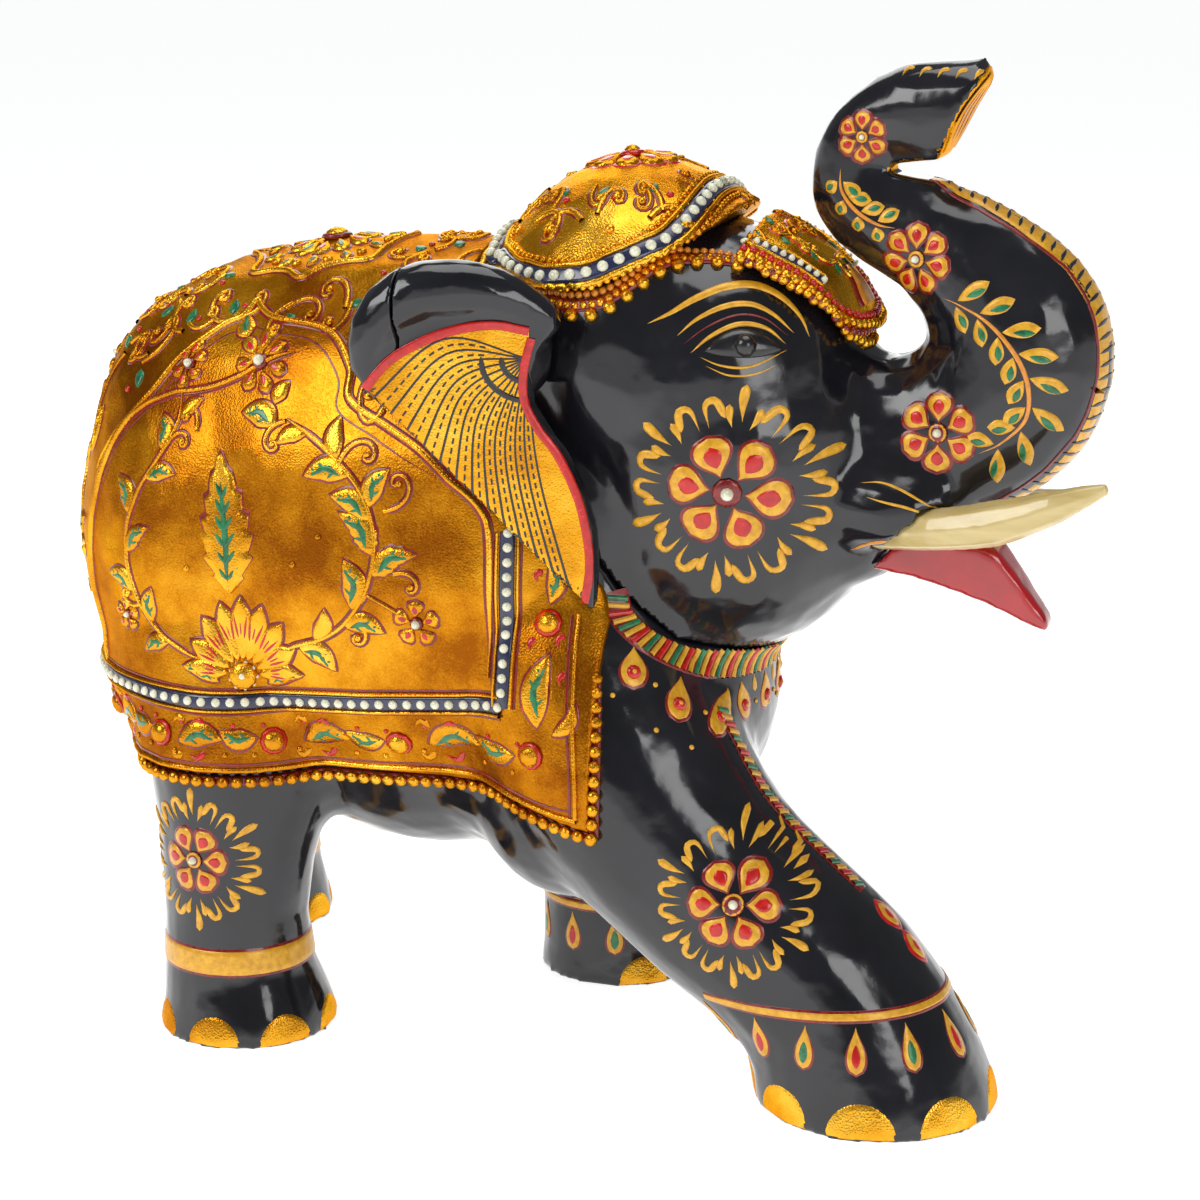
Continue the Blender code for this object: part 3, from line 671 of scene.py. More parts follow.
def leaf(brush, base, length, turn, half, core="green", bend=0.12, teeth=0):
    """A raised leaf with a dark outline and brushed streaks in it."""
    tip = polar(base, length, turn)
    mid = bent(base, tip, bend)
    back, front = polar(base, -0.4, turn), polar(tip, 0.5, turn)
    shape = comb_width if teeth else (lambda half, teeth: leaf_width(half))
    brush.stroke("maroon", (back, mid, front), shape(half + 0.5, teeth), 0.12, FLAT)
    brush.stroke("gold", (base, mid, tip), shape(half, teeth), 0.62, DOME, 0.05)
    if not core:
        return
    for share, size in ((0.28, 0.55), (0.52, 0.46), (0.72, 0.30)):
        if share < 0.5:
            spot = bent(base, mid, 0.0, 2 * share)
        else:
            spot = bent(mid, tip, 0.0, 2 * share - 1)
        for way in (-38.0, 38.0):
            brush.stroke(core, (spot, polar(spot, half * 1.5 * size, turn + way)),
                         leaf_width(0.34), 0.10, DOME, 0.58, 0.4)
    brush.stroke(core, (polar(base, 0.15 * length, turn), mid, polar(base, 0.8 * length, turn)),
                 leaf_width(half * 0.26), 0.12, DOME, 0.62)


def curl(brush, start, turn, size, way, edge="maroon", half=0.5):
    """A spiral tendril."""
    knots, spot, heading = [start], start, turn
    for k in range(9):
        spot = polar(spot, size * (0.62 - 0.058 * k), heading)
        heading += way * (22.0 + 7.5 * k)
        knots.append(spot)
    brush.stroke(edge, knots, even_width(half + 0.4), 0.10, FLAT)
    brush.stroke("gold", knots, lambda t: half * (1.0 - 0.35 * t), 0.55, DOME, 0.03)
    brush.dot("gold", knots[-1], half * 1.5, 0.9)


def along(knots, share):
    """The point and heading, in degrees, at a share of a smooth 2-D path."""
    path = even(catmull(knots, 10), 0.5)
    i = min(max(int(share * (len(path) - 1)), 1), len(path) - 2)
    way = path[i + 1] - path[i - 1]
    return tuple(path[i]), math.degrees(math.atan2(way[1], way[0]))


# ------------------------------------------------------- saddle cloth designs

PANEL_FRAME = (
    (-99.0, 76.0), (-100.0, 96.0), (-98.0, 112.0), (-95.0, 124.0), (-88.5, 134.0),
    (-83.5, 141.5), (-74.5, 147.5), (-67.5, 149.5), (-63.7, 152.5), (-58.0, 150.0),
    (-44.0, 148.5), (-37.3, 142.5), (-36.2, 136.5), (-28.0, 132.3), (-20.0, 128.2),
    (-14.0, 123.5), (-7.5, 118.0), (-5.2, 110.0), (-5.2, 84.0),
)
PANEL_MIDDLE = -64.0
MAIN_VINE = (
    (-52.0, 83.5), (-47.5, 86.5), (-40.0, 89.3), (-34.4, 93.5), (-29.6, 101.0),
    (-28.4, 110.5), (-31.5, 119.5), (-37.7, 125.5), (-44.0, 129.5), (-49.5, 132.0),
)
REAR_VINE = (
    (-66.0, 82.0), (-72.0, 84.0), (-79.0, 88.0), (-83.5, 95.5), (-85.0, 105.5),
    (-83.0, 115.0), (-79.0, 122.5), (-76.5, 129.5), (-79.0, 136.0),
)
BAND_LOW, BAND_HIGH, BAND_X = 74.0, 78.6, -1.9
PEARL_LIFT = 0.6  # pearls sit this far over the band's surface
HEM = (
    (-131.0, 58.6), (-110.0, 58.4), (-84.0, 58.0), (-62.0, 58.2), (-40.0, 58.6), (-18.0, 59.6),
    (-6.0, 59.4), (5.0, 57.6), (16.6, 55.6),
)


def cloth_side(hand):
    """Everything on one flank of the saddle cloth."""
    put = wrap_on(CLOTH, hand)
    b = Brush("cloth_flank", CLOTH, put)
    cord(b, PANEL_FRAME, 0.7, 0.85)
    inner = []
    for x, z in PANEL_FRAME[2:16]:
        inwards = 2.3 if x < PANEL_MIDDLE else -2.3
        inner.append((x + inwards if z > 100.0 else x, z - 2.2 if z > 124.0 else z))
    b.stroke("maroon", inner, even_width(0.22), 0.12, FLAT)
    vine_leaves(b, MAIN_VINE, (
        (0.10, -1, 7.5, 1), (0.16, 1, 6.0, 0), (0.27, -1, 7.0, 1), (0.33, 1, 8.5, 1),
        (0.45, -1, 8.5, 2), (0.50, 1, 9.0, 2), (0.60, 1, 8.0, 1), (0.64, -1, 7.0, 1),
        (0.74, 1, 8.0, 1), (0.80, -1, 6.5, 0), (0.92, 1, 5.5, 0)))
    vine_leaves(b, REAR_VINE, (
        (0.14, 1, 5.5, 1), (0.22, -1, 6.0, 1), (0.34, 1, 6.5, 1), (0.46, -1, 6.5, 2),
        (0.58, 1, 7.0, 1), (0.70, -1, 6.0, 1), (0.80, 1, 6.0, 1), (0.90, -1, 5.0, 0)))
    cord(b, MAIN_VINE, 0.5, 0.6)
    cord(b, REAR_VINE, 0.45, 0.55)
    for start, turn, size, way in (
        ((-36.5, 125.0), 60.0, 4.2, -1), ((-26.5, 116.0), 20.0, 4.4, 1),
        ((-49.5, 131.5), 200.0, 3.4, 1), ((-44.0, 88.0), -70.0, 3.2, 1),
        ((-33.5, 94.5), -30.0, 3.2, -1), ((-78.0, 124.5), 60.0, 3.0, -1),
        ((-82.0, 92.0), 200.0, 2.8, -1), ((-24.0, 104.0), 10.0, 3.0, -1),
        ((-71.0, 128.0), 100.0, 3.0, 1),
    ):
        curl(b, start, turn, size, way)
    stem_flower(b, (-57.3, 142.0), 7, 6.2)
    leaf(b, (-62.0, 146.0), 5.2, 130.0, 2.2)
    leaf(b, (-51.5, 130.5), 8.5, 168.0, 2.8, bend=-0.15)
    leaf(b, (-52.5, 134.5), 5.0, 60.0, 1.8, core="")
    stem_flower(b, (-79.5, 140.0), 6, 4.8)
    stem_flower(b, (-86.5, 89.0), 5, 3.4)
    stalk = ((-30.0, 99.5), (-25.0, 97.0), (-21.5, 95.0))
    b.stroke("maroon", stalk, even_width(0.6), 0.1, FLAT)
    b.stroke("gold", stalk, even_width(0.4), 0.5)
    stem_flower(b, (-19.6, 94.2), 5, 4.8)
    tall_leaf(b)
    lotus(b)
    for spot in ((-46.0, 104.0), (-70.0, 101.0), (-40.5, 110.0)):
        b.dot("gold", spot, 0.7)
    bands(hand)
    border(hand)
    bead_fringe(hand)


def vine_leaves(b, vine, plan):
    """Leaves along a vine: (share along it, side, length, style)."""
    for share, way, length, style in plan:
        spot, heading = along(vine, share)
        turn = heading + way * 48.0
        base = polar(spot, 0.5, turn)
        length *= 1.22
        leaf(b, base, length, turn, length * 0.27, core="green" if style else "",
             bend=-0.16 * way, teeth=5 if style == 2 else 0)


def stem_flower(b, centre, petals, radius):
    """A raised gold flower with red petal hearts and a pearl."""
    half = math.pi * radius * 0.62 / petals * 0.92
    for k in range(petals):
        b.ray(centre, 90.0 + 360.0 * k / petals, (
            ("maroon", 0.26 * radius, radius + 0.5, drop_width(half + 0.45, 0.62), 0.12, FLAT),
            ("gold", 0.26 * radius, radius, drop_width(half, 0.64), 0.7, DOME, 0.05),
            ("red", 0.42 * radius, 0.82 * radius, leaf_width(half * 0.36), 0.12, DOME, 0.68)))
    b.dot("maroon", centre, radius * 0.3, 0.5)
    b.dot("pearl", centre, radius * 0.2, 1.5)


def tall_leaf(b):
    """The tall serrated leaf over the lotus."""
    base, tip = (-60.4, 96.4), (-63.6, 124.4)
    mid = (-61.2, 109.5)
    b.stroke("maroon", (base, mid, (-63.7, 125.2)), comb_width(7.0, 7), 0.12, FLAT)
    b.stroke("gold", (base, mid, tip), comb_width(6.4, 7), 0.75, GROOVE, 0.05)
    for k in range(6):
        z = 99.5 + 3.2 * k
        x = -60.6 - 0.11 * (z - 99.0)
        for way in (-1, 1):
            b.stroke("green", ((x, z), (x + way * (3.2 - 0.3 * k), z + 3.4)),
                     leaf_width(0.5), 0.15, DOME, 0.62, 0.4)
    b.stroke("green", ((-60.6, 99.0), (-61.4, 109.0), (-63.0, 119.0)), leaf_width(0.9), 0.2,
             DOME, 0.45)


def lotus(b):
    """The open lotus at the foot of the panel."""
    heart = (-58.2, 79.6)
    for turn, reach, half in (
        (172.0, 11.5, 2.3), (8.0, 12.0, 2.3), (150.0, 13.0, 2.5), (30.0, 13.5, 2.5),
        (128.0, 14.5, 2.6), (52.0, 15.0, 2.6), (108.0, 15.5, 2.6), (72.0, 16.0, 2.6),
        (90.0, 16.5, 2.8),
    ):
        b.ray(heart, turn, (
            ("maroon", 3.0, reach + 0.7, leaf_width(half + 0.5, 0.55), 0.14, FLAT),
            ("gold", 3.0, reach, leaf_width(half, 0.55), 0.8, DOME, 0.05)))
        for lean in (-7.0, 0.0, 7.0):
            b.stroke("red", (polar(heart, 0.45 * reach, turn + lean * 0.6),
                             polar(heart, 0.78 * reach, turn + lean)),
                     leaf_width(0.32), 0.12, DOME, 0.74, 0.5)
    b.dot("gold", heart, 3.0, 0.45)
    for k in range(9):
        b.dot("pearl", polar(heart, 2.6, 40.0 * k), 0.5, 1.2)
    b.dot("pearl", heart, 1.2, 1.2)
    for way in (-1, 1):
        leaf(b, (heart[0] + way * 5.0, 78.0), 8.5, 90.0 - way * 72.0, 2.0, bend=0.15 * way)


def bands(hand):
    """The navy pearl band between gold cords, round the flank and up to the neck."""
    b = Brush("pearl_band", CLOTH, wrap_on(CLOTH, hand))
    level = [(u, BAND_LOW) for u in (-131.0, -118.0, -100.0, -80.0, -62.0)]
    level += [(-40.0, 75.6), (-20.0, 77.2), (-8.0, 78.2), (BAND_X - 0.6, BAND_HIGH)]
    upright = [(BAND_X, z) for z in (BAND_HIGH, 88.0, 100.0, 113.0)]
    for path in (level, upright):
        b.stroke("navy", path, lambda t: 1.55, 0.75, FLAT)
    for path, shift in ((level, (0.0, 1.0)), (upright, (1.0, 0.0))):
        for way in (-1, 1):
            for look, gap, half, height, section in (
                ("gold", 1.95, 0.36, 0.95, DOME), ("maroon", 2.6, 0.30, 0.14, FLAT),
            ):
                line = [(u + shift[0] * way * gap, z + shift[1] * way * gap) for u, z in path]
                b.stroke(look, line, lambda t: half, height, section)
    b.row("pearl", level, 2.95, 0.98, lift=PEARL_LIFT)
    rising = [(BAND_X, z) for z in (BAND_HIGH, 90.0, 100.0, 113.0)]
    b.row("pearl", rising, 2.95, 0.98, lift=PEARL_LIFT, skip=1)


def border(hand):
    """The outer border: bosses, streaked leaves and edge cords."""
    b = Brush("cloth_border", CLOTH, wrap_on(CLOTH, hand))
    bosses = [(-124.0, 66.2), (-100.0, 66.2), (-76.0, 66.2), (-52.6, 66.0), (-26.4, 67.2),
              (4.6, 70.0)]
    for spot in bosses + [(6.3, 95.5), (7.0, 112.0)]:
        b.dot("red", spot, 2.9, 0.22)
        b.dot("gold", spot, 2.3, 0.62)
    for (x0, z0), (x1, z1) in zip(bosses, bosses[1:]):
        run, middle = x1 - x0, (z0 + z1) / 2
        leaf(b, (x0 + 0.20 * run, middle - 1.0), 0.40 * run, 8.0, 2.7, bend=0.16)
        leaf(b, (x1 - 0.12 * run, middle + 0.8), 0.32 * run, 170.0, 2.2, bend=0.16)
        for way in (-1, 1):
            comma(b, "red", (x0 + 0.30 * run, middle + way * 3.2),
                  (x0 + 0.44 * run, middle + way * 2.2), 0.7, way * 0.4)
            comma(b, "gold", (x0 + 0.13 * run, middle + way * 2.6),
                  (x0 + 0.24 * run, middle + way * 3.0), 0.85, way * 0.5)
        for share in (0.16, 0.62, 0.86):
            b.dot("gold", (x0 + share * run, middle - 2.9), 0.6)
            b.dot("red", (x0 + share * run + 1.4, middle + 3.2), 0.55)
    leaf(b, (6.0, 75.6), 14.5, 84.0, 3.0, bend=0.12)
    leaf(b, (9.2, 74.5), 8.0, 60.0, 1.5, core="", bend=-0.2)
    leaf(b, (6.3, 99.0), 9.5, 92.0, 1.9, bend=-0.12)
    for spot in ((3.2, 78.0), (10.2, 84.0), (3.4, 90.0), (9.0, 91.0), (3.8, 103.0), (9.4, 105.0)):
        comma(b, "red", spot, (spot[0] + 0.9, spot[1] + 2.6), 0.75, 0.3)
    inner = [(u, z + 3.0) for u, z in HEM[:-1]] + [(13.4, 60.0)]
    b.stroke("maroon", inner, lambda t: 0.3, 0.12, FLAT)
    b.stroke("gold", [(u, z + 1.9) for u, z in HEM[:-1]] + [(14.8, 58.2)], lambda t: 0.55, 0.75)
    front = ((14.6, 58.6), (14.4, 66.0), (13.4, 76.0), (12.6, 86.0), (11.8, 97.0))
    b.stroke("gold", front, lambda t: 0.5, 0.75)
    b.stroke("maroon", [(x - 1.2, z) for x, z in front], lambda t: 0.3, 0.12, FLAT)


def bead_fringe(hand):
    """The fringe of gold beads along the cloth's hem and up its front edge."""
    fringe = Brush("bead_fringe", BLOCKS, wrap_on(BLOCKS, hand))
    rope = [(u, z - 1.0) for u, z in HEM[:-1]] + [(17.6, 54.6)]
    edge = ((17.8, 54.8), (17.9, 66.0), (17.2, 76.0), (16.2, 85.0))
    for path in (rope, edge):
        fringe.row("gold", path, 2.75, 1.32, 0.85, lift=1.0, out=0.8)
        fringe.stroke("maroon", path, lambda t: 1.0, 0.8, FLAT)


def rump():
    """A flower on a stem between two vines on the rump."""
    middle = RUMP_X - RUMP_RADIUS * math.pi / 2
    b = Brush("rump_relief", CLOTH, wrap_on(CLOTH, RIGHT))
    cord(b, ((middle, 83.0), (middle + 0.6, 94.0), (middle, 106.0)), 0.55, 0.6)
    stem_flower(b, (middle, 115.0), 8, 8.2)
    leaf(b, (middle, 125.0), 9.0, 90.0, 2.4)
    for hand in (RIGHT, LEFT):
        b = Brush("rump_relief", CLOTH, wrap_on(CLOTH, hand))
        vine = ((middle + 1.0, 82.5), (middle + 9.0, 86.5), (middle + 16.0, 94.5),
                (middle + 18.5, 105.5), (middle + 16.0, 116.5), (middle + 11.0, 125.5),
                (middle + 9.5, 133.0))
        vine_leaves(b, vine, (
            (0.12, 1, 5.5, 1), (0.20, -1, 6.5, 2), (0.34, 1, 6.5, 1), (0.44, -1, 7.0, 2),
            (0.56, 1, 7.0, 1), (0.66, -1, 6.0, 1), (0.78, 1, 6.0, 1), (0.90, -1, 5.0, 0)))
        cord(b, vine, 0.5, 0.6)
        stem_flower(b, (middle + 9.0, 137.0), 6, 4.6)
        for z in (90.0, 99.0):
            leaf(b, (middle + 1.2, z), 6.5, 38.0, 1.9)
        curl(b, (middle + 19.0, 100.0), 20.0, 3.2, -1)
        curl(b, (middle + 17.0, 112.0), 150.0, 3.0, 1)


def back_top():
    """The medallion on the back and the scrolls in the spandrels."""
    b = Brush("back_medallion", CLOTH, top_on(CLOTH))
    centre = (-54.4, 0.0)
    ring = [polar(centre, 17.0 + 1.6 * math.cos(math.radians(8 * 15.0 * k)), 15.0 * k)
            for k in range(25)]
    cord(b, ring, 0.7, 0.8)
    for k in range(12):
        turn = 30.0 * k
        b.ray(centre, turn, (
            ("maroon", 4.0, 10.6, drop_width(2.3, 0.62), 0.12, FLAT),
            ("gold", 4.0, 10.0, drop_width(1.85, 0.64), 0.7, DOME, 0.05),
            ("red" if k % 2 else "green", 5.6, 9.0, leaf_width(0.7), 0.14, DOME, 0.7)))
        b.dot("gold", polar(centre, 13.4, turn + 15.0), 1.1)
        leaf(b, polar(centre, 11.2, turn), 4.2, turn, 1.1, core="green")
    b.dot("maroon", centre, 3.4, 0.3)
    b.dot("gold", centre, 2.6, 0.6)
    b.dot("pearl", centre, 1.1, 1.6)
    for hand in (RIGHT, LEFT):
        spandrels(hand)


def spandrels(hand):
    """Scrolls between the back's medallion and the flank's frame."""
    b = Brush("back_scrolls", CLOTH, top_on(CLOTH, hand))
    spots = (
        (-88.0, 24.0), (-84.0, 14.0), (-87.0, 5.0), (-79.0, 23.0), (-76.0, 12.0),
        (-30.0, 27.0), (-33.0, 19.0), (-30.0, 10.0), (-24.0, 24.0), (-22.0, 15.0),
        (-26.0, 4.0), (-16.0, 20.0), (-14.0, 10.0), (-68.0, 24.0), (-42.0, 25.0),
        (-55.0, 24.5), (-19.0, 31.0), (-27.0, 34.0), (-95.0, 18.0), (-97.0, 8.0),
    )
    for k, (x, y) in enumerate(spots):
        way = 1 if k % 2 else -1
        curl(b, (x, y), 70.0 * k, 4.2, way, half=0.6)
        curl(b, (x + 1.0, y - 1.0), 70.0 * k + 190.0, 3.4, -way, half=0.55)
        b.ray((x, y), 70.0 * k + 80.0, (("green", 1.2, 4.0, leaf_width(1.25), 0.45),))
        b.dot("red", polar((x, y), 3.4, 70.0 * k + 130.0), 0.7)
    for half, look, height in ((1.2, "maroon", 0.14), (0.55, "gold", 0.8)):
        b.stroke(look, ((-96.0, 30.0), (-80.0, 32.0), (-64.0, 33.0), (-50.0, 32.0)),
                 even_width(half), height)


# ----------------------------------------------------- painted lacquer designs

EYE = (41.6, 150.0)


def face_side(hand):
    """The eye with its painted highlight, the cheek flower and the lines at the mouth."""
    b = Brush("face_paint", HEAD, side_on(HEAD, hand))
    eye = Brush("eye", HEAD, side_on(HEAD, hand))
    eye.stroke("black", ((34.5, 148.9), (41.0, 150.4), (48.0, 148.8)), leaf_width(2.9, 0.5), 1.1)
    for look, knots, half in (
        ("yellow", ((23.0, 153.6), (27.0, 155.6), (31.5, 158.4), (36.5, 160.4), (41.5, 160.4),
                    (46.0, 158.2), (49.8, 154.4), (51.8, 150.6)), 0.95),
        ("yellow", ((29.0, 151.6), (32.5, 154.8), (37.0, 157.0), (41.5, 157.2), (45.8, 155.0),
                    (49.4, 151.6)), 0.62),
        ("yellow", ((32.0, 148.6), (35.5, 151.8), (40.0, 153.8), (44.6, 153.0), (48.4, 149.8)), 0.55),
        ("yellow", ((33.8, 147.9), (38.0, 146.3), (43.0, 146.1), (48.8, 148.8)), 0.28),
        ("yellow", ((35.0, 146.3), (39.5, 144.5), (44.0, 144.7), (47.4, 146.2)), 0.22),
        ("maroon", ((30.5, 150.2), (34.5, 153.4), (39.5, 155.4), (44.2, 154.6), (48.6, 151.2)), 0.22),
    ):
        b.stroke(look, knots, leaf_width(half, 0.5), 0.3)
    eye.dot("black", (41.6, 149.9), 2.3, 0.9)
    # The small cream dot beside the pupil is a painted highlight: a glint of light painted onto the
    # black eye.
    eye.dot("pearl", (42.8, 151.7), 0.7, 0.5)
    cheek = (39.7, 122.0)
    flower(b, cheek, 6, 11.2, 110.0)
    burst(b, cheek, 13.2, 21.0, 140.0, 1.25)
    for knots in (((62.5, 122.8), (67.0, 123.0), (72.5, 121.2), (78.5, 117.6)),
                  ((64.0, 120.4), (68.0, 119.6), (73.0, 118.6), (78.2, 116.4))):
        b.stroke("yellow", knots, leaf_width(0.3, 0.5), 0.25)
    b.stroke("orange", ((60.0, 108.5), (65.0, 110.8), (72.0, 112.6)), leaf_width(0.5), 0.25)


def painted_vine(b, knots, stem, shares, leaves, spread, lean, gap, sizes):
    """A painted stem with a pair of leaves at each share of its run.

    leaves holds (side, length) pairs; sizes are a leaf's half width, its green core's half
    width and where that core starts, as a share of the leaf.
    """
    half, core, foot = sizes
    b.stroke("orange", knots, leaf_width(stem, 0.5), 0.3)
    for share in shares:
        spot, heading = along(knots, share)
        for way, size in leaves:
            turn = heading + way * spread
            base = polar(spot, gap, turn)
            b.stroke("yellow", (base, polar(base, size, turn + way * lean)),
                     leaf_width(half, 0.6), 0.3)
            b.ray(base, turn, (
                ("green", foot * size, 0.85 * size, leaf_width(core, 0.55), 0.12, DOME, 0.28),))


def trunk_side(hand):
    """Flowers and vines up one side of the trunk."""
    b = Brush("trunk_paint", HEAD, side_on(HEAD, hand))
    for centre, petals, radius in (((76.7, 132.8), 6, 7.6), ((70.4, 165.4), 7, 6.8),
                                   ((58.4, 188.0), 6, 4.9)):
        flower(b, centre, petals, radius, 90.0)
    painted_vine(b, (
        (76.0, 158.4), (80.0, 157.2), (86.0, 154.2), (91.0, 149.2), (93.8, 143.3), (93.6, 136.6),
        (89.0, 131.6), (84.6, 129.2)), 0.5, (0.06, 0.18, 0.30, 0.42, 0.54, 0.66, 0.78, 0.90),
        ((-1, 5.4), (1, 7.4)), 42.0, 8.0, 0.9, (1.6, 0.72, 0.28))
    painted_vine(b, (
        (54.2, 181.8), (54.6, 177.6), (57.6, 174.0), (62.0, 171.6), (66.0, 171.0)), 0.42,
        (0.12, 0.32, 0.54, 0.76), ((1, 4.8), (-1, 3.0)), 50.0, 0.0, 0.8, (1.5, 0.66, 0.3))
    for k in range(7):
        x = 60.0 + 3.6 * k
        comma(b, "yellow", (x - 1.6, 199.8 - 0.05 * k), (x + 0.6, 201.2), 0.55, 0.25)


def trunk_band_half(t):
    """Half width of the trunk's gold band along its run."""
    return 1.8 + 5.4 * min(1.0, t / 0.30) ** 0.8 - 2.2 * max(0.0, (t - 0.8) / 0.2)


def trunk_band():
    """The gold band with dark bars along the outer edge of the trunk."""
    b = Brush("trunk_band", HEAD, snap(HEAD))
    spine = (
        (71.0, 0, 179.6), (76.0, 0, 178.0), (81.5, 0, 175.9), (88.0, 0, 173.4), (95.0, 0, 170.2),
        (101.5, 0, 165.6), (106.0, 0, 158.0), (107.4, 0, 147.4), (104.4, 0, 136.5),
        (97.8, 0, 128.1), (90.0, 0, 122.6), (84.0, 0, 119.8))
    b.stroke("yellow", spine, trunk_band_half, 0.12, FLAT)
    path = even(catmull(spine, 10), 2.7)
    for i, (here, there) in enumerate(zip(path[1:-1], path[2:])):
        slant = (there - here) * 0.35
        half = trunk_band_half(i / len(path)) - 0.6
        for way in (-1, 1):
            bar = [tuple(here + slant * s + np.array((0.0, way * s * half, 0.0))) for s in
                   (0.05, 0.35, 0.7, 1.0)]
            b.stroke("black", bar, leaf_width(0.42, 0.5), 0.06, FLAT, 0.12)
    for way in (-1, 1):
        edge = [(x, way * trunk_band_half(i / (len(spine) - 1)), z)
                for i, (x, y, z) in enumerate(spine)]
        b.stroke("maroon", edge, lambda t: 0.35, 0.16, FLAT, 0.04)


MOUTH_BASE = Vector((73.3, 0.0, 184.0))  # bottom of the trunk's slanting mouth, mm
MOUTH_ALONG = Vector((0.49, 0.0, 0.87))
MOUTH_OUT = Vector((0.87, 0.0, -0.49))
MOUTH_REACH = 8.0  # rays towards the mouth start this far from its plane, mm
MOUTH_RIM = (
    (0.0, 20.3), (2.4, 19.6), (4.4, 18.7), (6.6, 16.8), (7.8, 13.6), (8.3, 10.6), (8.3, 8.4),
    (7.4, 4.4), (5.2, 0.4), (0.0, 0.2),
)


def mouth_on(spot):
    """A placer for (y, distance up the mouth) designs on the trunk's mouth."""
    middle = MOUTH_BASE + Vector((0.0, spot[0], 0.0)) + MOUTH_ALONG * spot[1]
    return cast(HEAD, middle + MOUTH_OUT * MOUTH_REACH, -MOUTH_OUT, 2 * MOUTH_REACH)


def trunk_mouth():
    """The gilded mouth with dark lines along it."""
    b = Brush("mouth_paint", HEAD, mouth_on)
    rim = [(y * 1.04, s) for y, s in MOUTH_RIM]
    rim += [(-y, s) for y, s in rim[-2:0:-1]]
    b.patch("gold", rim, (0.0, 9.5), 0.3)
    for y in (-3.6, 0.0, 3.6):
        b.stroke("maroon", ((y * 0.8, 4.0), (y, 9.5), (y * 0.7, 16.0)), leaf_width(0.36, 0.5), 0.1,
                 FLAT, 0.3)


def leg_flowers():
    """A flower in a spray on each leg."""
    for centre, radius, start, hand in (
        ((45.7, 43.5), 8.6, 60.0, RIGHT), ((-70.0, 39.4), 7.2, 60.0, RIGHT),
        ((-2.4, 40.0), 7.2, 60.0, LEFT), ((-95.5, 39.4), 7.2, 60.0, LEFT),
    ):
        b = Brush("leg_paint", TORSO, side_on(TORSO, hand))
        flower(b, centre, 6, radius, start)
        burst(b, centre, radius + 1.9, radius + 8.4, start + 30.0)


def foot_bands():
    """Bands round the four feet, two of them with hanging drops."""
    for axis, radius, level, tilt, plain in (
        ((63.5, -26.0), 21.0, 23.2, 0.03, False), ((-67.0, -29.2), 15.5, 17.4, 0.0, True),
        ((-2.9, 28.2), 16.2, 17.6, 0.0, False), ((-93.8, 31.0), 15.8, 17.4, 0.0, True),
    ):
        b = Brush("foot_bands", TORSO, round_on(TORSO, axis, radius))
        turn = math.pi * radius
        ring = [(turn * k / 12.0, level + tilt * radius * math.cos(math.pi * k / 12.0))
                for k in range(-12, 13)]
        wide = 2.6 if plain else 0.75
        b.stroke("maroon", ring, lambda t: wide + 0.55, 0.10, FLAT)
        b.stroke("yellow", ring, lambda t: wide, 0.22, FLAT, 0.03)
        if plain:
            continue
        drops = 13 if radius > 18 else 10
        for k in range(drops):
            arc = 2 * turn * k / drops - turn
            high = level + tilt * radius * math.cos(arc / radius) - 1.8
            b.ray((arc, high), DOWN, (
                ("maroon", 0.0, 9.2, drop_width(2.3, 0.68), 0.1, FLAT),
                ("yellow", 0.0, 8.8, drop_width(1.9, 0.68), 0.25, DOME, 0.05),
                ("green" if k % 2 else "red", 3.0, 7.8, leaf_width(0.95, 0.6), 0.12, DOME, 0.26)))


def toenails():
    """Gilded nails at the fronts of the feet."""
    for axis, radius, angles, size in (
        ((69.0, -26.0), 23.5, (-168, -124, -80, -36, 8, 52), 7.2),
        ((-65.4, -29.5), 18.0, (-140, -90, -40, 8, 54), 6.1),
        ((-1.9, 29.0), 17.8, (-54, -8, 38, 84, 130), 6.0),
        ((-92.9, 32.0), 17.8, (-54, -8, 38, 84, 130), 6.0),
    ):
        b = Brush("toenails", TORSO, round_on(TORSO, axis, radius))
        for angle in angles:
            arc = math.radians(angle) * radius
            rim = [(arc + size * math.cos(math.radians(t)),
                    0.25 + size * 1.02 * math.sin(math.radians(t))) for t in range(0, 181, 12)]
            rim += [(arc + size * s, 0.25) for s in (-0.6, -0.2, 0.2, 0.6)]
            b.patch("gold", rim, (arc, 0.42 * size), 0.16, 7)


def strip_of_ribs(name, tree, path, half, pitch=1.5):
    """A ribbed strip: slanted ribs of yellow, green, yellow and red."""
    b = Brush(name, tree, snap(tree))
    b.stroke("maroon", path, lambda t: half + 0.35, 0.18, FLAT)
    looks = ("yellow", "green", "yellow", "red")
    spots = even(catmull(path, 10), pitch)
    for k in range(1, len(spots) - 1):
        hit, normal = snap(tree)(spots[k])
        ahead = Vector(spots[k + 1]) - Vector(spots[k - 1])
        across = normal.cross(ahead).normalized()
        lean = ahead.normalized() * (0.35 * half)
        a = Vector(spots[k]) - across * half * 0.92 - lean
        c = Vector(spots[k]) + across * half * 0.92 + lean
        b.stroke(looks[k % 4], (tuple(a), tuple(c)), lambda t: pitch * 0.40, 0.45, DOME, 0.1, 0.8)


def heart_drop(b, start, lean, edge, fill, heart, dots):
    """A gold drop with a dark edge and a dotted heart; edge and fill are (length, half)."""
    b.ray(start, lean, (
        ("maroon", 0.0, edge[0], drop_width(edge[1], 0.6), 0.1, FLAT),
        ("yellow", 0.0, fill[0], drop_width(fill[1], 0.6), 0.25, DOME, 0.05)))
    b.dot("red", polar(start, heart, lean), dots[0], 0.5)
    b.dot("yellow", polar(start, heart, lean), dots[1], 1.3)


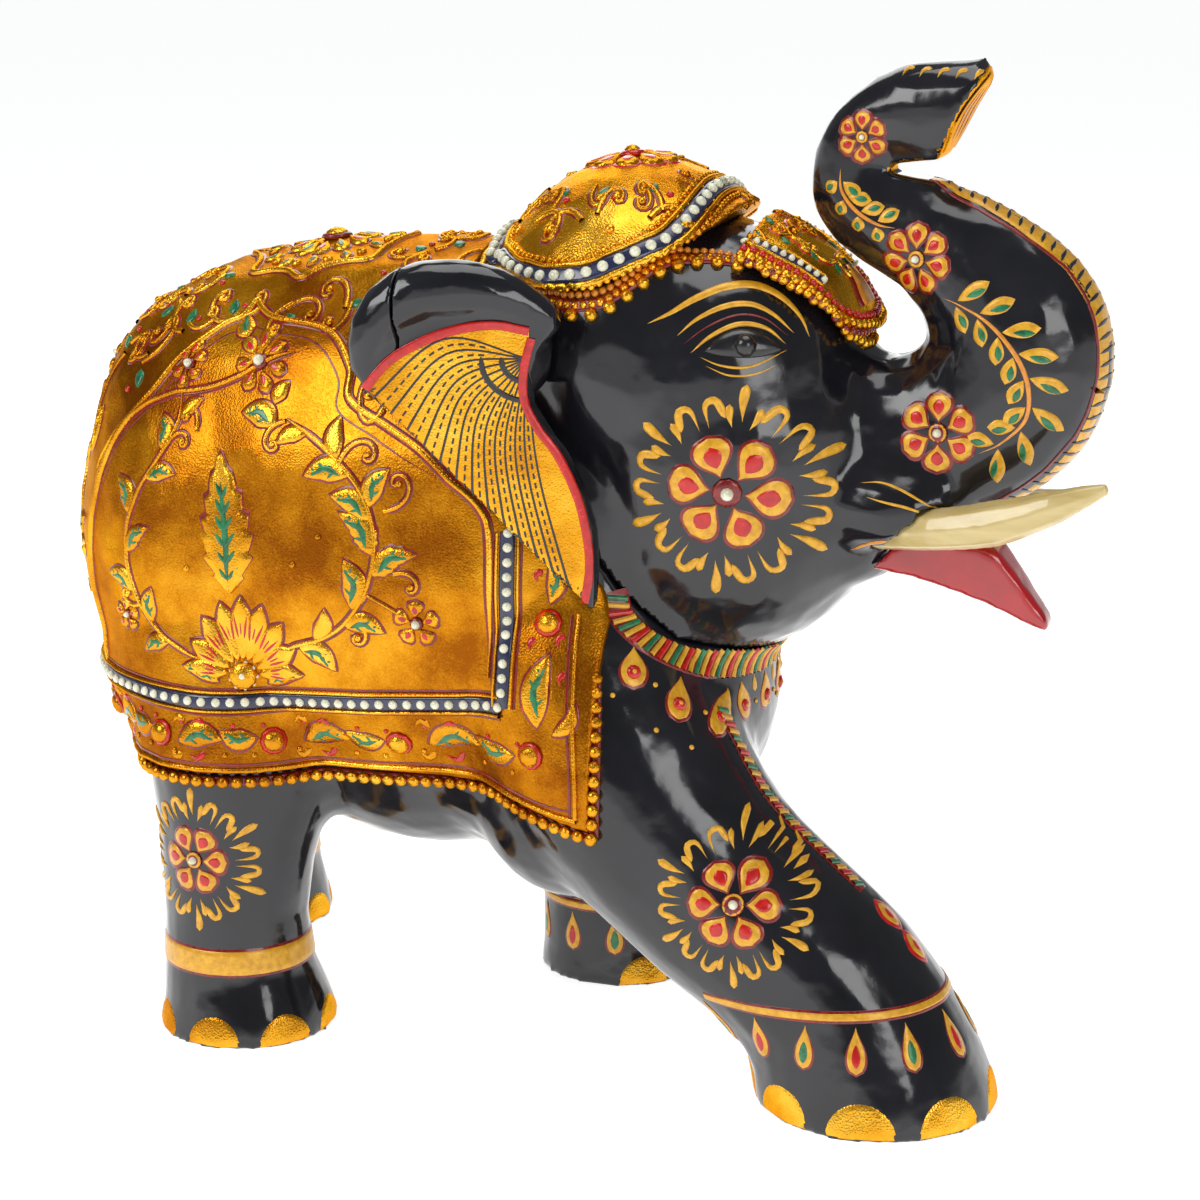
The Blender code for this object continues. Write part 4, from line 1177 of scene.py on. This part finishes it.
def collar():
    """The ribbed collar under the jaw, with the drops that hang from it at both sides."""
    for way in (RIGHT, LEFT):
        side = [(x, -way * y, z) for x, y, z in (
            (16.6, -31.2, 100.6), (19.2, -32.6, 96.2), (24.0, -31.5, 91.6), (30.5, -26.5, 87.0),
            (37.0, -19.0, 84.0), (41.2, -9.5, 82.6), (42.4, 0.0, 82.2))]
        strip_of_ribs("collar_ribs", BLOCKS, side, 2.5)
        b = Brush("collar_drops", TORSO, side_on(TORSO, way))
        for start, lean, size in (((21.6, 90.4), -80.0, 1.0), ((29.8, 83.8), -78.0, 1.0),
                                  ((36.2, 79.2), -80.0, 0.9)):
            heart_drop(b, start, lean, (7.8 * size, 3.3 * size), (7.3 * size, 2.8 * size),
                       4.6 * size, (1.5 * size, 0.7 * size))
            for side_way in (-1, 1):
                b.dot("yellow", polar(start, 8.6 * size, lean + side_way * 24.0), 0.55)


def chest_drops():
    """Drops on the chest, under the collar."""
    chest = Brush("chest_drops", TORSO, front_on(TORSO))
    for y in (-14.0, -4.8, 4.8):
        heart_drop(chest, (y, 79.6), DOWN, (8.4, 3.1), (7.8, 2.6), 5.0, (1.4, 0.65))
        chest.stroke("yellow", ((y + 4.6, 80.0), (y + 4.6, 76.4)), drop_width(0.8), 0.25)
        chest.dot("yellow", (y + 4.6, 74.4), 0.5)


def leg_strip():
    """A ribbed strip from the collar down the near front leg, ending in two lozenges."""
    strip_of_ribs("leg_strip", TORSO, (
        (35.4, -23.0, 77.0), (39.4, -24.0, 69.0), (44.8, -25.2, 62.0), (53.0, -25.6, 54.2),
        (60.6, -25.8, 48.4), (67.0, -26.0, 43.0)), 1.7, 1.6)
    b = Brush("leg_lozenge", TORSO, snap(TORSO))
    for x, z in ((72.0, 38.0), (77.6, 32.0)):
        for look, start, end, half, *more in (
            ("red", (-3.0, 3.2), (2.6, -3.0), 3.4, 0.14, FLAT),
            ("yellow", (-2.2, 2.4), (1.9, -2.2), 2.3, 0.3, DOME, 0.08),
            ("red", (-1.0, 1.2), (0.8, -1.0), 1.0, 0.14, DOME, 0.36),
        ):
            ends = [(x + dx, -26.0, z + dz) for dx, dz in (start, end)]
            b.stroke(look, ends, leaf_width(half, 0.5), *more)


# ------------------------------------------------------------------ the ears

EAR_CENTRE = (3.2, 148.0)
EAR_REAR = ((-26.2, 141.0), (12.4, 99.0))  # the straight lower-rear edge
EAR_TOP = ((-26.0, 141.8), (-20.6, 148.2), (-11.8, 152.8), (-3.2, 154.4), (3.6, 153.2))
EAR_FRONT = ((4.0, 151.8), (2.7, 146.0), (2.6, 140.0), (5.0, 134.4), (8.6, 129.0),
             (12.0, 121.0), (13.8, 113.0), (14.2, 106.0), (13.2, 99.2))


def ear_face(hand):
    """The gilded face of one ear: fan lines, dashes and a red border."""
    tree = EAR[hand]
    b = Brush("ear_face", tree, side_on(tree, hand))
    outline = list(even(catmull(EAR_TOP, 8), 2.0)) + list(even(catmull(EAR_FRONT, 8), 2.0))[1:]
    outline += list(even([EAR_FRONT[-1], EAR_REAR[0]], 2.0))[1:-1]
    b.patch("gold", outline, (-1.5, 137.0), 0.10, 26)
    ribs = 12
    for k in range(ribs + 1):
        share = 0.03 + 0.94 * k / ribs
        end = bent(*EAR_REAR, 0.0, share)
        b.stroke("black", fan_line(end), lambda t: 0.17 + 0.08 * t, 0.08, FLAT, 0.20)
        if k == ribs:
            break
        mid = bent(*EAR_REAR, 0.0, share + 0.47 / ribs)
        path = even(catmull(fan_line(mid), 8), 1.9)
        for here, there in zip(path[4:-1], path[5:]):
            b.stroke("black", (tuple(here), tuple(here + (there - here) * 0.58)),
                     lambda t: 0.20, 0.08, FLAT, 0.20, 0.3)
    for reach in (4.6, 8.2):
        arc = [polar(EAR_CENTRE, reach, turn) for turn in (178, 200, 225, 250, 268)]
        b.stroke("black", arc, even_width(0.55), 0.10, FLAT, 0.20)
    for path, half in ((EAR_TOP, 0.95), (EAR_FRONT, 0.85)):
        b.stroke("red", path, lambda t: half, 0.22, FLAT, 0.16)
    b.stroke("black", (EAR_FRONT[-1], EAR_REAR[0]), lambda t: 0.45, 0.12, FLAT, 0.08)


def fan_line(end):
    """A curved rib from the fan's centre to a point on the ear's rear edge."""
    bulge = 0.03 + 0.24 * max(0.0, (end[1] - EAR_REAR[1][1]) / (EAR_REAR[0][1] - EAR_REAR[1][1]))
    return (EAR_CENTRE, bent(EAR_CENTRE, end, -bulge, 0.45), tuple(end))


# ------------------------------------------------------------- the headdress

CAP_BAND = (
    (-15.7, 0.0, 167.5), (-15.7, -6.0, 167.5), (-15.5, -12.0, 167.3), (-13.5, -20.5, 165.6),
    (-8.0, -28.0, 164.2), (0.0, -32.6, 163.0), (6.0, -33.6, 162.9), (12.0, -33.2, 163.6),
    (17.0, -31.4, 165.8), (22.0, -28.2, 168.2), (25.8, -24.4, 170.4), (28.2, -16.6, 174.4),
    (29.0, -7.0, 177.6), (29.3, 0.0, 178.4),
)
FRINGE = (
    (-9.0, -28.0, 158.6), (-3.0, -32.0, 156.6), (3.0, -33.0, 155.6), (8.7, -33.2, 155.2),
    (13.9, -32.3, 155.8), (19.0, -30.2, 159.2), (23.0, -27.8, 163.0), (27.0, -25.0, 165.8),
    (30.6, -22.6, 167.2), (34.6, -20.8, 167.2), (38.4, -19.6, 166.0),
)
PANEL_EDGE = (
    (37.6, -20.5, 166.0), (39.0, -20.4, 165.4), (42.0, -20.1, 164.0),
    (45.0, -19.5, 162.5), (48.0, -18.4, 160.8), (51.0, -17.1, 158.7), (54.0, -15.6, 156.2),
    (57.0, -13.7, 152.6), (59.4, -9.6, 150.8), (60.6, -4.6, 150.2), (60.9, 0.0, 150.0),
)
CAP_RADIUS, CAP_SCROLLS = 26.0, 12
CAP_RISE = 30.0 / 1.45  # mm up the cap for each radian of tilt


def beside(tree, path, shift):
    """A path on a surface, moved sideways along that surface by a distance in mm."""
    path = even(catmull(path, 10), 1.5)
    moved = []
    for i, here in enumerate(path):
        hit, normal = snap(tree)(here)
        ahead = Vector(path[min(i + 1, len(path) - 1)] - path[max(i - 1, 0)])
        moved.append(tuple(Vector(here) + normal.cross(ahead).normalized() * shift))
    return moved


def both(path):
    """A right-hand path and its mirror image on the left."""
    return list(path), [(x, -y, z) for x, y, z in path]


def cap_relief():
    """The cap's rosette and scrolls."""
    top = Brush("cap_relief", CAP, top_on(CAP))
    centre = (10.0, 0.0)
    for k in range(9):
        top.ray(centre, 40.0 * k, (
            ("red", 2.6, 10.2, drop_width(3.1, 0.62), 0.15, FLAT),
            ("gold", 2.6, 9.6, drop_width(2.5, 0.64), 0.8, DOME, 0.05),
            ("red", 4.6, 8.4, leaf_width(1.1), 0.16, DOME, 0.8)))
    top.dot("red", centre, 2.6, 0.4)
    top.dot("gold", centre, 1.8, 0.9)
    dome = Brush("cap_scrolls", CAP, round_cap)
    for k in range(CAP_SCROLLS):
        arc = 2 * math.pi * CAP_RADIUS * k / CAP_SCROLLS
        way = 1 if k % 2 else -1
        curl(dome, (arc, 12.5), 90.0 + 60.0 * way, 4.6, way, half=0.7)
        curl(dome, (arc + 3.0, 13.5), 80.0, 3.6, -way, half=0.6)
        curl(dome, (arc, 19.5), 30.0 * k, 3.0, way, half=0.55)
        dome.dot("gold", (arc + 6.0, 11.0), 1.0)
        dome.dot("red", (arc + 6.5, 16.5), 0.8)
        dome.stroke("green", ((arc + 2.0, 17.0), (arc + 4.6, 19.0)), leaf_width(0.9), 0.4)


def cap_pearls():
    """The navy band with pearls round the cap, between gold cords and bead rows."""
    for path in both(CAP_BAND):
        b = Brush("cap_pearl_band", CAP, snap(CAP))
        b.stroke("navy", path, lambda t: 1.7, 0.8, FLAT)
        for shift in (-1, 1):
            b.stroke("gold", beside(CAP, path, shift * 2.3), lambda t: 0.6, 1.0)
            b.row("gold", beside(CAP, path, shift * 3.5)[::4], 1.7, 0.72)
        b.row("pearl", path, 3.3, 1.15, lift=PEARL_LIFT)


def moved(path, along_x, wider, up):
    """A path shifted in X and Z, and scaled across the middle plane."""
    return [(x + along_x, y * wider, z + up) for x, y, z in path]


def side_fringe():
    """The bead fringes that hang from the forehead at both sides."""
    for path in both(FRINGE):
        b = Brush("headdress_fringe", HEAD, snap(HEAD))
        upper = moved(path, 0.0, 1.0, 2.3)
        b.stroke("maroon", upper, lambda t: 1.3, 0.5, FLAT)
        b.row("gold", upper, 1.75, 0.9, 0.95)
        b.row("orange", moved(path, 0.0, 0.96, 4.1), 1.6, 0.8, 0.95)
        b.row("gold", path, 4.0, 1.35, 0.95)


def panel_beads():
    """Rows of beads round the forehead panel, and a navy band with pearls inside them."""
    for path in both(PANEL_EDGE):
        b = Brush("panel_beads", CROWN, snap(CROWN))
        for look, place, pitch, radius, squash in (
            ("gold", (0.0, 1.02, -1.6), 1.9, 1.05, 0.95), ("maroon", (0.0, 1.0, -0.2), 1.7, 0.85, 0.95),
            ("gold", (-0.3, 0.96, 1.4), 1.9, 1.05, 0.9), ("red", (-0.8, 0.88, 3.0), 1.9, 0.8, 0.9),
        ):
            b.row(look, moved(path, *place), pitch, radius, squash)
        band = moved(path[:7], -1.2, 0.76, 4.6)
        b.stroke("navy", band, lambda t: 1.2, 0.5, FLAT)
        for shift in (-1, 1):
            b.stroke("gold", beside(CROWN, band, shift * 1.5), lambda t: 0.4, 0.8)
        b.row("pearl", band, 1.9, 0.7, 1.6)


def forehead():
    """Scrolls on the forehead panel and the tassel that hangs from it."""
    plate = Brush("forehead_scrolls", PLATE, top_on(PLATE))
    for way in (-1, 1):
        for k, (x, y) in enumerate(((39.0, 4.5), (43.5, 9.0), (44.0, 3.0), (48.5, 6.5), (52.5, 3.0),
                                    (39.0, 11.0))):
            curl(plate, (x, way * y), 65.0 * k, 3.0, way, edge="red")
            plate.stroke("green", ((x, way * y), (x + 2.0, way * (y + 1.4))), leaf_width(0.8), 0.4)
    b = Brush("forehead_tassel", BROW, snap(BROW))
    b.stroke("maroon", ((53.0, 0.0, 162.5), (56.6, 0.0, 158.0), (58.4, 0.0, 151.0)),
             drop_width(4.6, 0.7), 0.5, FLAT)
    b.stroke("orange", ((53.4, 0.0, 162.0), (56.7, 0.0, 157.8), (58.3, 0.0, 151.8)),
             drop_width(3.8, 0.7), 0.9, GROOVE, 0.2)


def round_cap(spot):
    """A placer for (arc round the cap, height up from its rim) in mm."""
    turn, tilt = spot[0] / CAP_RADIUS, spot[1] / CAP_RISE
    out = Vector((math.cos(turn), math.sin(turn), 0.0))
    middle = Vector((8.0, 0.0, 155.0))
    aim = (out * math.cos(tilt) + Vector((0, 0, 1)) * math.sin(tilt)).normalized()
    return cast(CAP, middle + aim * REACH, -aim)


# ------------------------------------------------------------- put together

for hand in (RIGHT, LEFT):
    cloth_side(hand)
    face_side(hand)
    trunk_side(hand)
    ear_face(hand)
rump()
back_top()
trunk_band()
trunk_mouth()
leg_flowers()
foot_bands()
toenails()
collar()
chest_drops()
leg_strip()
cap_relief()
cap_pearls()
side_fringe()
panel_beads()
forehead()

GOES_FOR = {
    "pearl_band_navy": ["pearl_band"], "bead_fringe_gold": ["hem_fringe"],
    "cap_pearl_band_navy": ["headdress_band"],
    "headdress_fringe_gold": ["headdress_fringe_right", "headdress_fringe_left"],
    "collar_ribs_maroon": ["collar_band"],
    "back_medallion_gold": ["saddle_medallion"],
}
for key in sorted(Layer.made):
    Layer.made[key].build(GOES_FOR.get(key, ()))


def gild_mouth():
    """Gild the faces of the trunk's slanting mouth and of the notch under it."""
    head.data.materials.append(MATERIALS["gold"])
    for face in head.data.polygons:
        spot, way = face.center / MM, face.normal
        mouth = spot.x > 61.0 and spot.z > 176.5 and (way.x - 0.45 * way.z) > 0.62
        notch = spot.x > 60.0 and 178.0 < spot.z < 192.0 and way.z < -0.25
        if (mouth or notch) and abs(way.y) < 0.7:
            face.material_index = 1


gild_mouth()

# ------------------------------------------------------- floor, light, camera

WALL_TOP = 0.05  # the white wall ends at this sine of elevation
FLOOR_SIZE = 30.0  # metres
TARGET = (3.1, 0.0, 90.0)  # the middle of the view, mm


def make_floor():
    """A plain white table top."""
    shape = bmesh.new()
    bmesh.ops.create_grid(shape, x_segments=1, y_segments=1, size=FLOOR_SIZE / 2)
    mesh = bpy.data.meshes.new("floor")
    shape.to_mesh(mesh)
    shape.free()
    floor = new_object("floor", mesh)
    material, tree, shader = new_material("white_paper_floor")
    constants(shader, {"Base Color": (0.90, 0.90, 0.90, 1.0), "Roughness": 0.9,
                       "Emission Color": (1.0, 1.0, 1.0, 1.0), "Emission Strength": 0.80})
    mesh.materials.append(material)


def soft_light(name, spot, size, watts):
    """A white square soft box, in mm, that points at the elephant."""
    light = bpy.data.lights.new(name, "AREA")
    light.shape = "SQUARE"
    light.size = size * MM
    light.energy = watts
    thing = bpy.data.objects.new(name, light)
    thing.location = Vector(spot) * MM
    thing.rotation_euler = (Vector(TARGET) - Vector(spot)).to_track_quat("-Z", "Y").to_euler()
    bpy.context.scene.collection.objects.link(thing)


make_floor()
soft_light("key", (-420, -560, 620), 420, 3.3)
soft_light("fill", (620, -520, 380), 300, 1.3)
soft_light("top", (60, 60, 850), 520, 2.4)
soft_light("back", (-260, 620, 480), 520, 2.0)


def studio_world():
    """A dim room, so that the lacquer stays dark, with a white wall low down all round."""
    world = bpy.data.worlds.new("studio")
    world.use_nodes = True
    tree = world.node_tree
    where = tree.nodes.new("ShaderNodeTexCoord")
    split = tree.nodes.new("ShaderNodeSeparateXYZ")
    tree.links.new(where.outputs["Generated"], split.inputs["Vector"])
    ramp = ramp_node(tree, split.outputs["Z"], (
        (WALL_TOP, (1.0, 1.0, 1.0)), (WALL_TOP + 0.10, (0.17, 0.175, 0.18))))
    shade = tree.nodes["Background"]
    tree.links.new(ramp.outputs["Color"], shade.inputs["Color"])
    bpy.context.scene.world = world


studio_world()

AZIMUTH, ELEVATION = math.radians(19.0), math.radians(14.5)
DISTANCE, LENS, SENSOR = 650.0, 94.1, 36.0  # mm


def make_camera():
    """The camera at the photo's viewing angle."""
    lens = bpy.data.cameras.new("camera")
    lens.lens = LENS
    lens.sensor_width = SENSOR
    camera = bpy.data.objects.new("camera", lens)
    bpy.context.scene.collection.objects.link(camera)
    back = Vector((math.sin(AZIMUTH) * math.cos(ELEVATION),
                   -math.cos(AZIMUTH) * math.cos(ELEVATION), math.sin(ELEVATION)))
    camera.location = (Vector(TARGET) + back * DISTANCE) * MM
    camera.rotation_euler = (-back).to_track_quat("-Z", "Y").to_euler()
    bpy.context.scene.camera = camera


make_camera()
bpy.context.scene.view_settings.view_transform = "Standard"
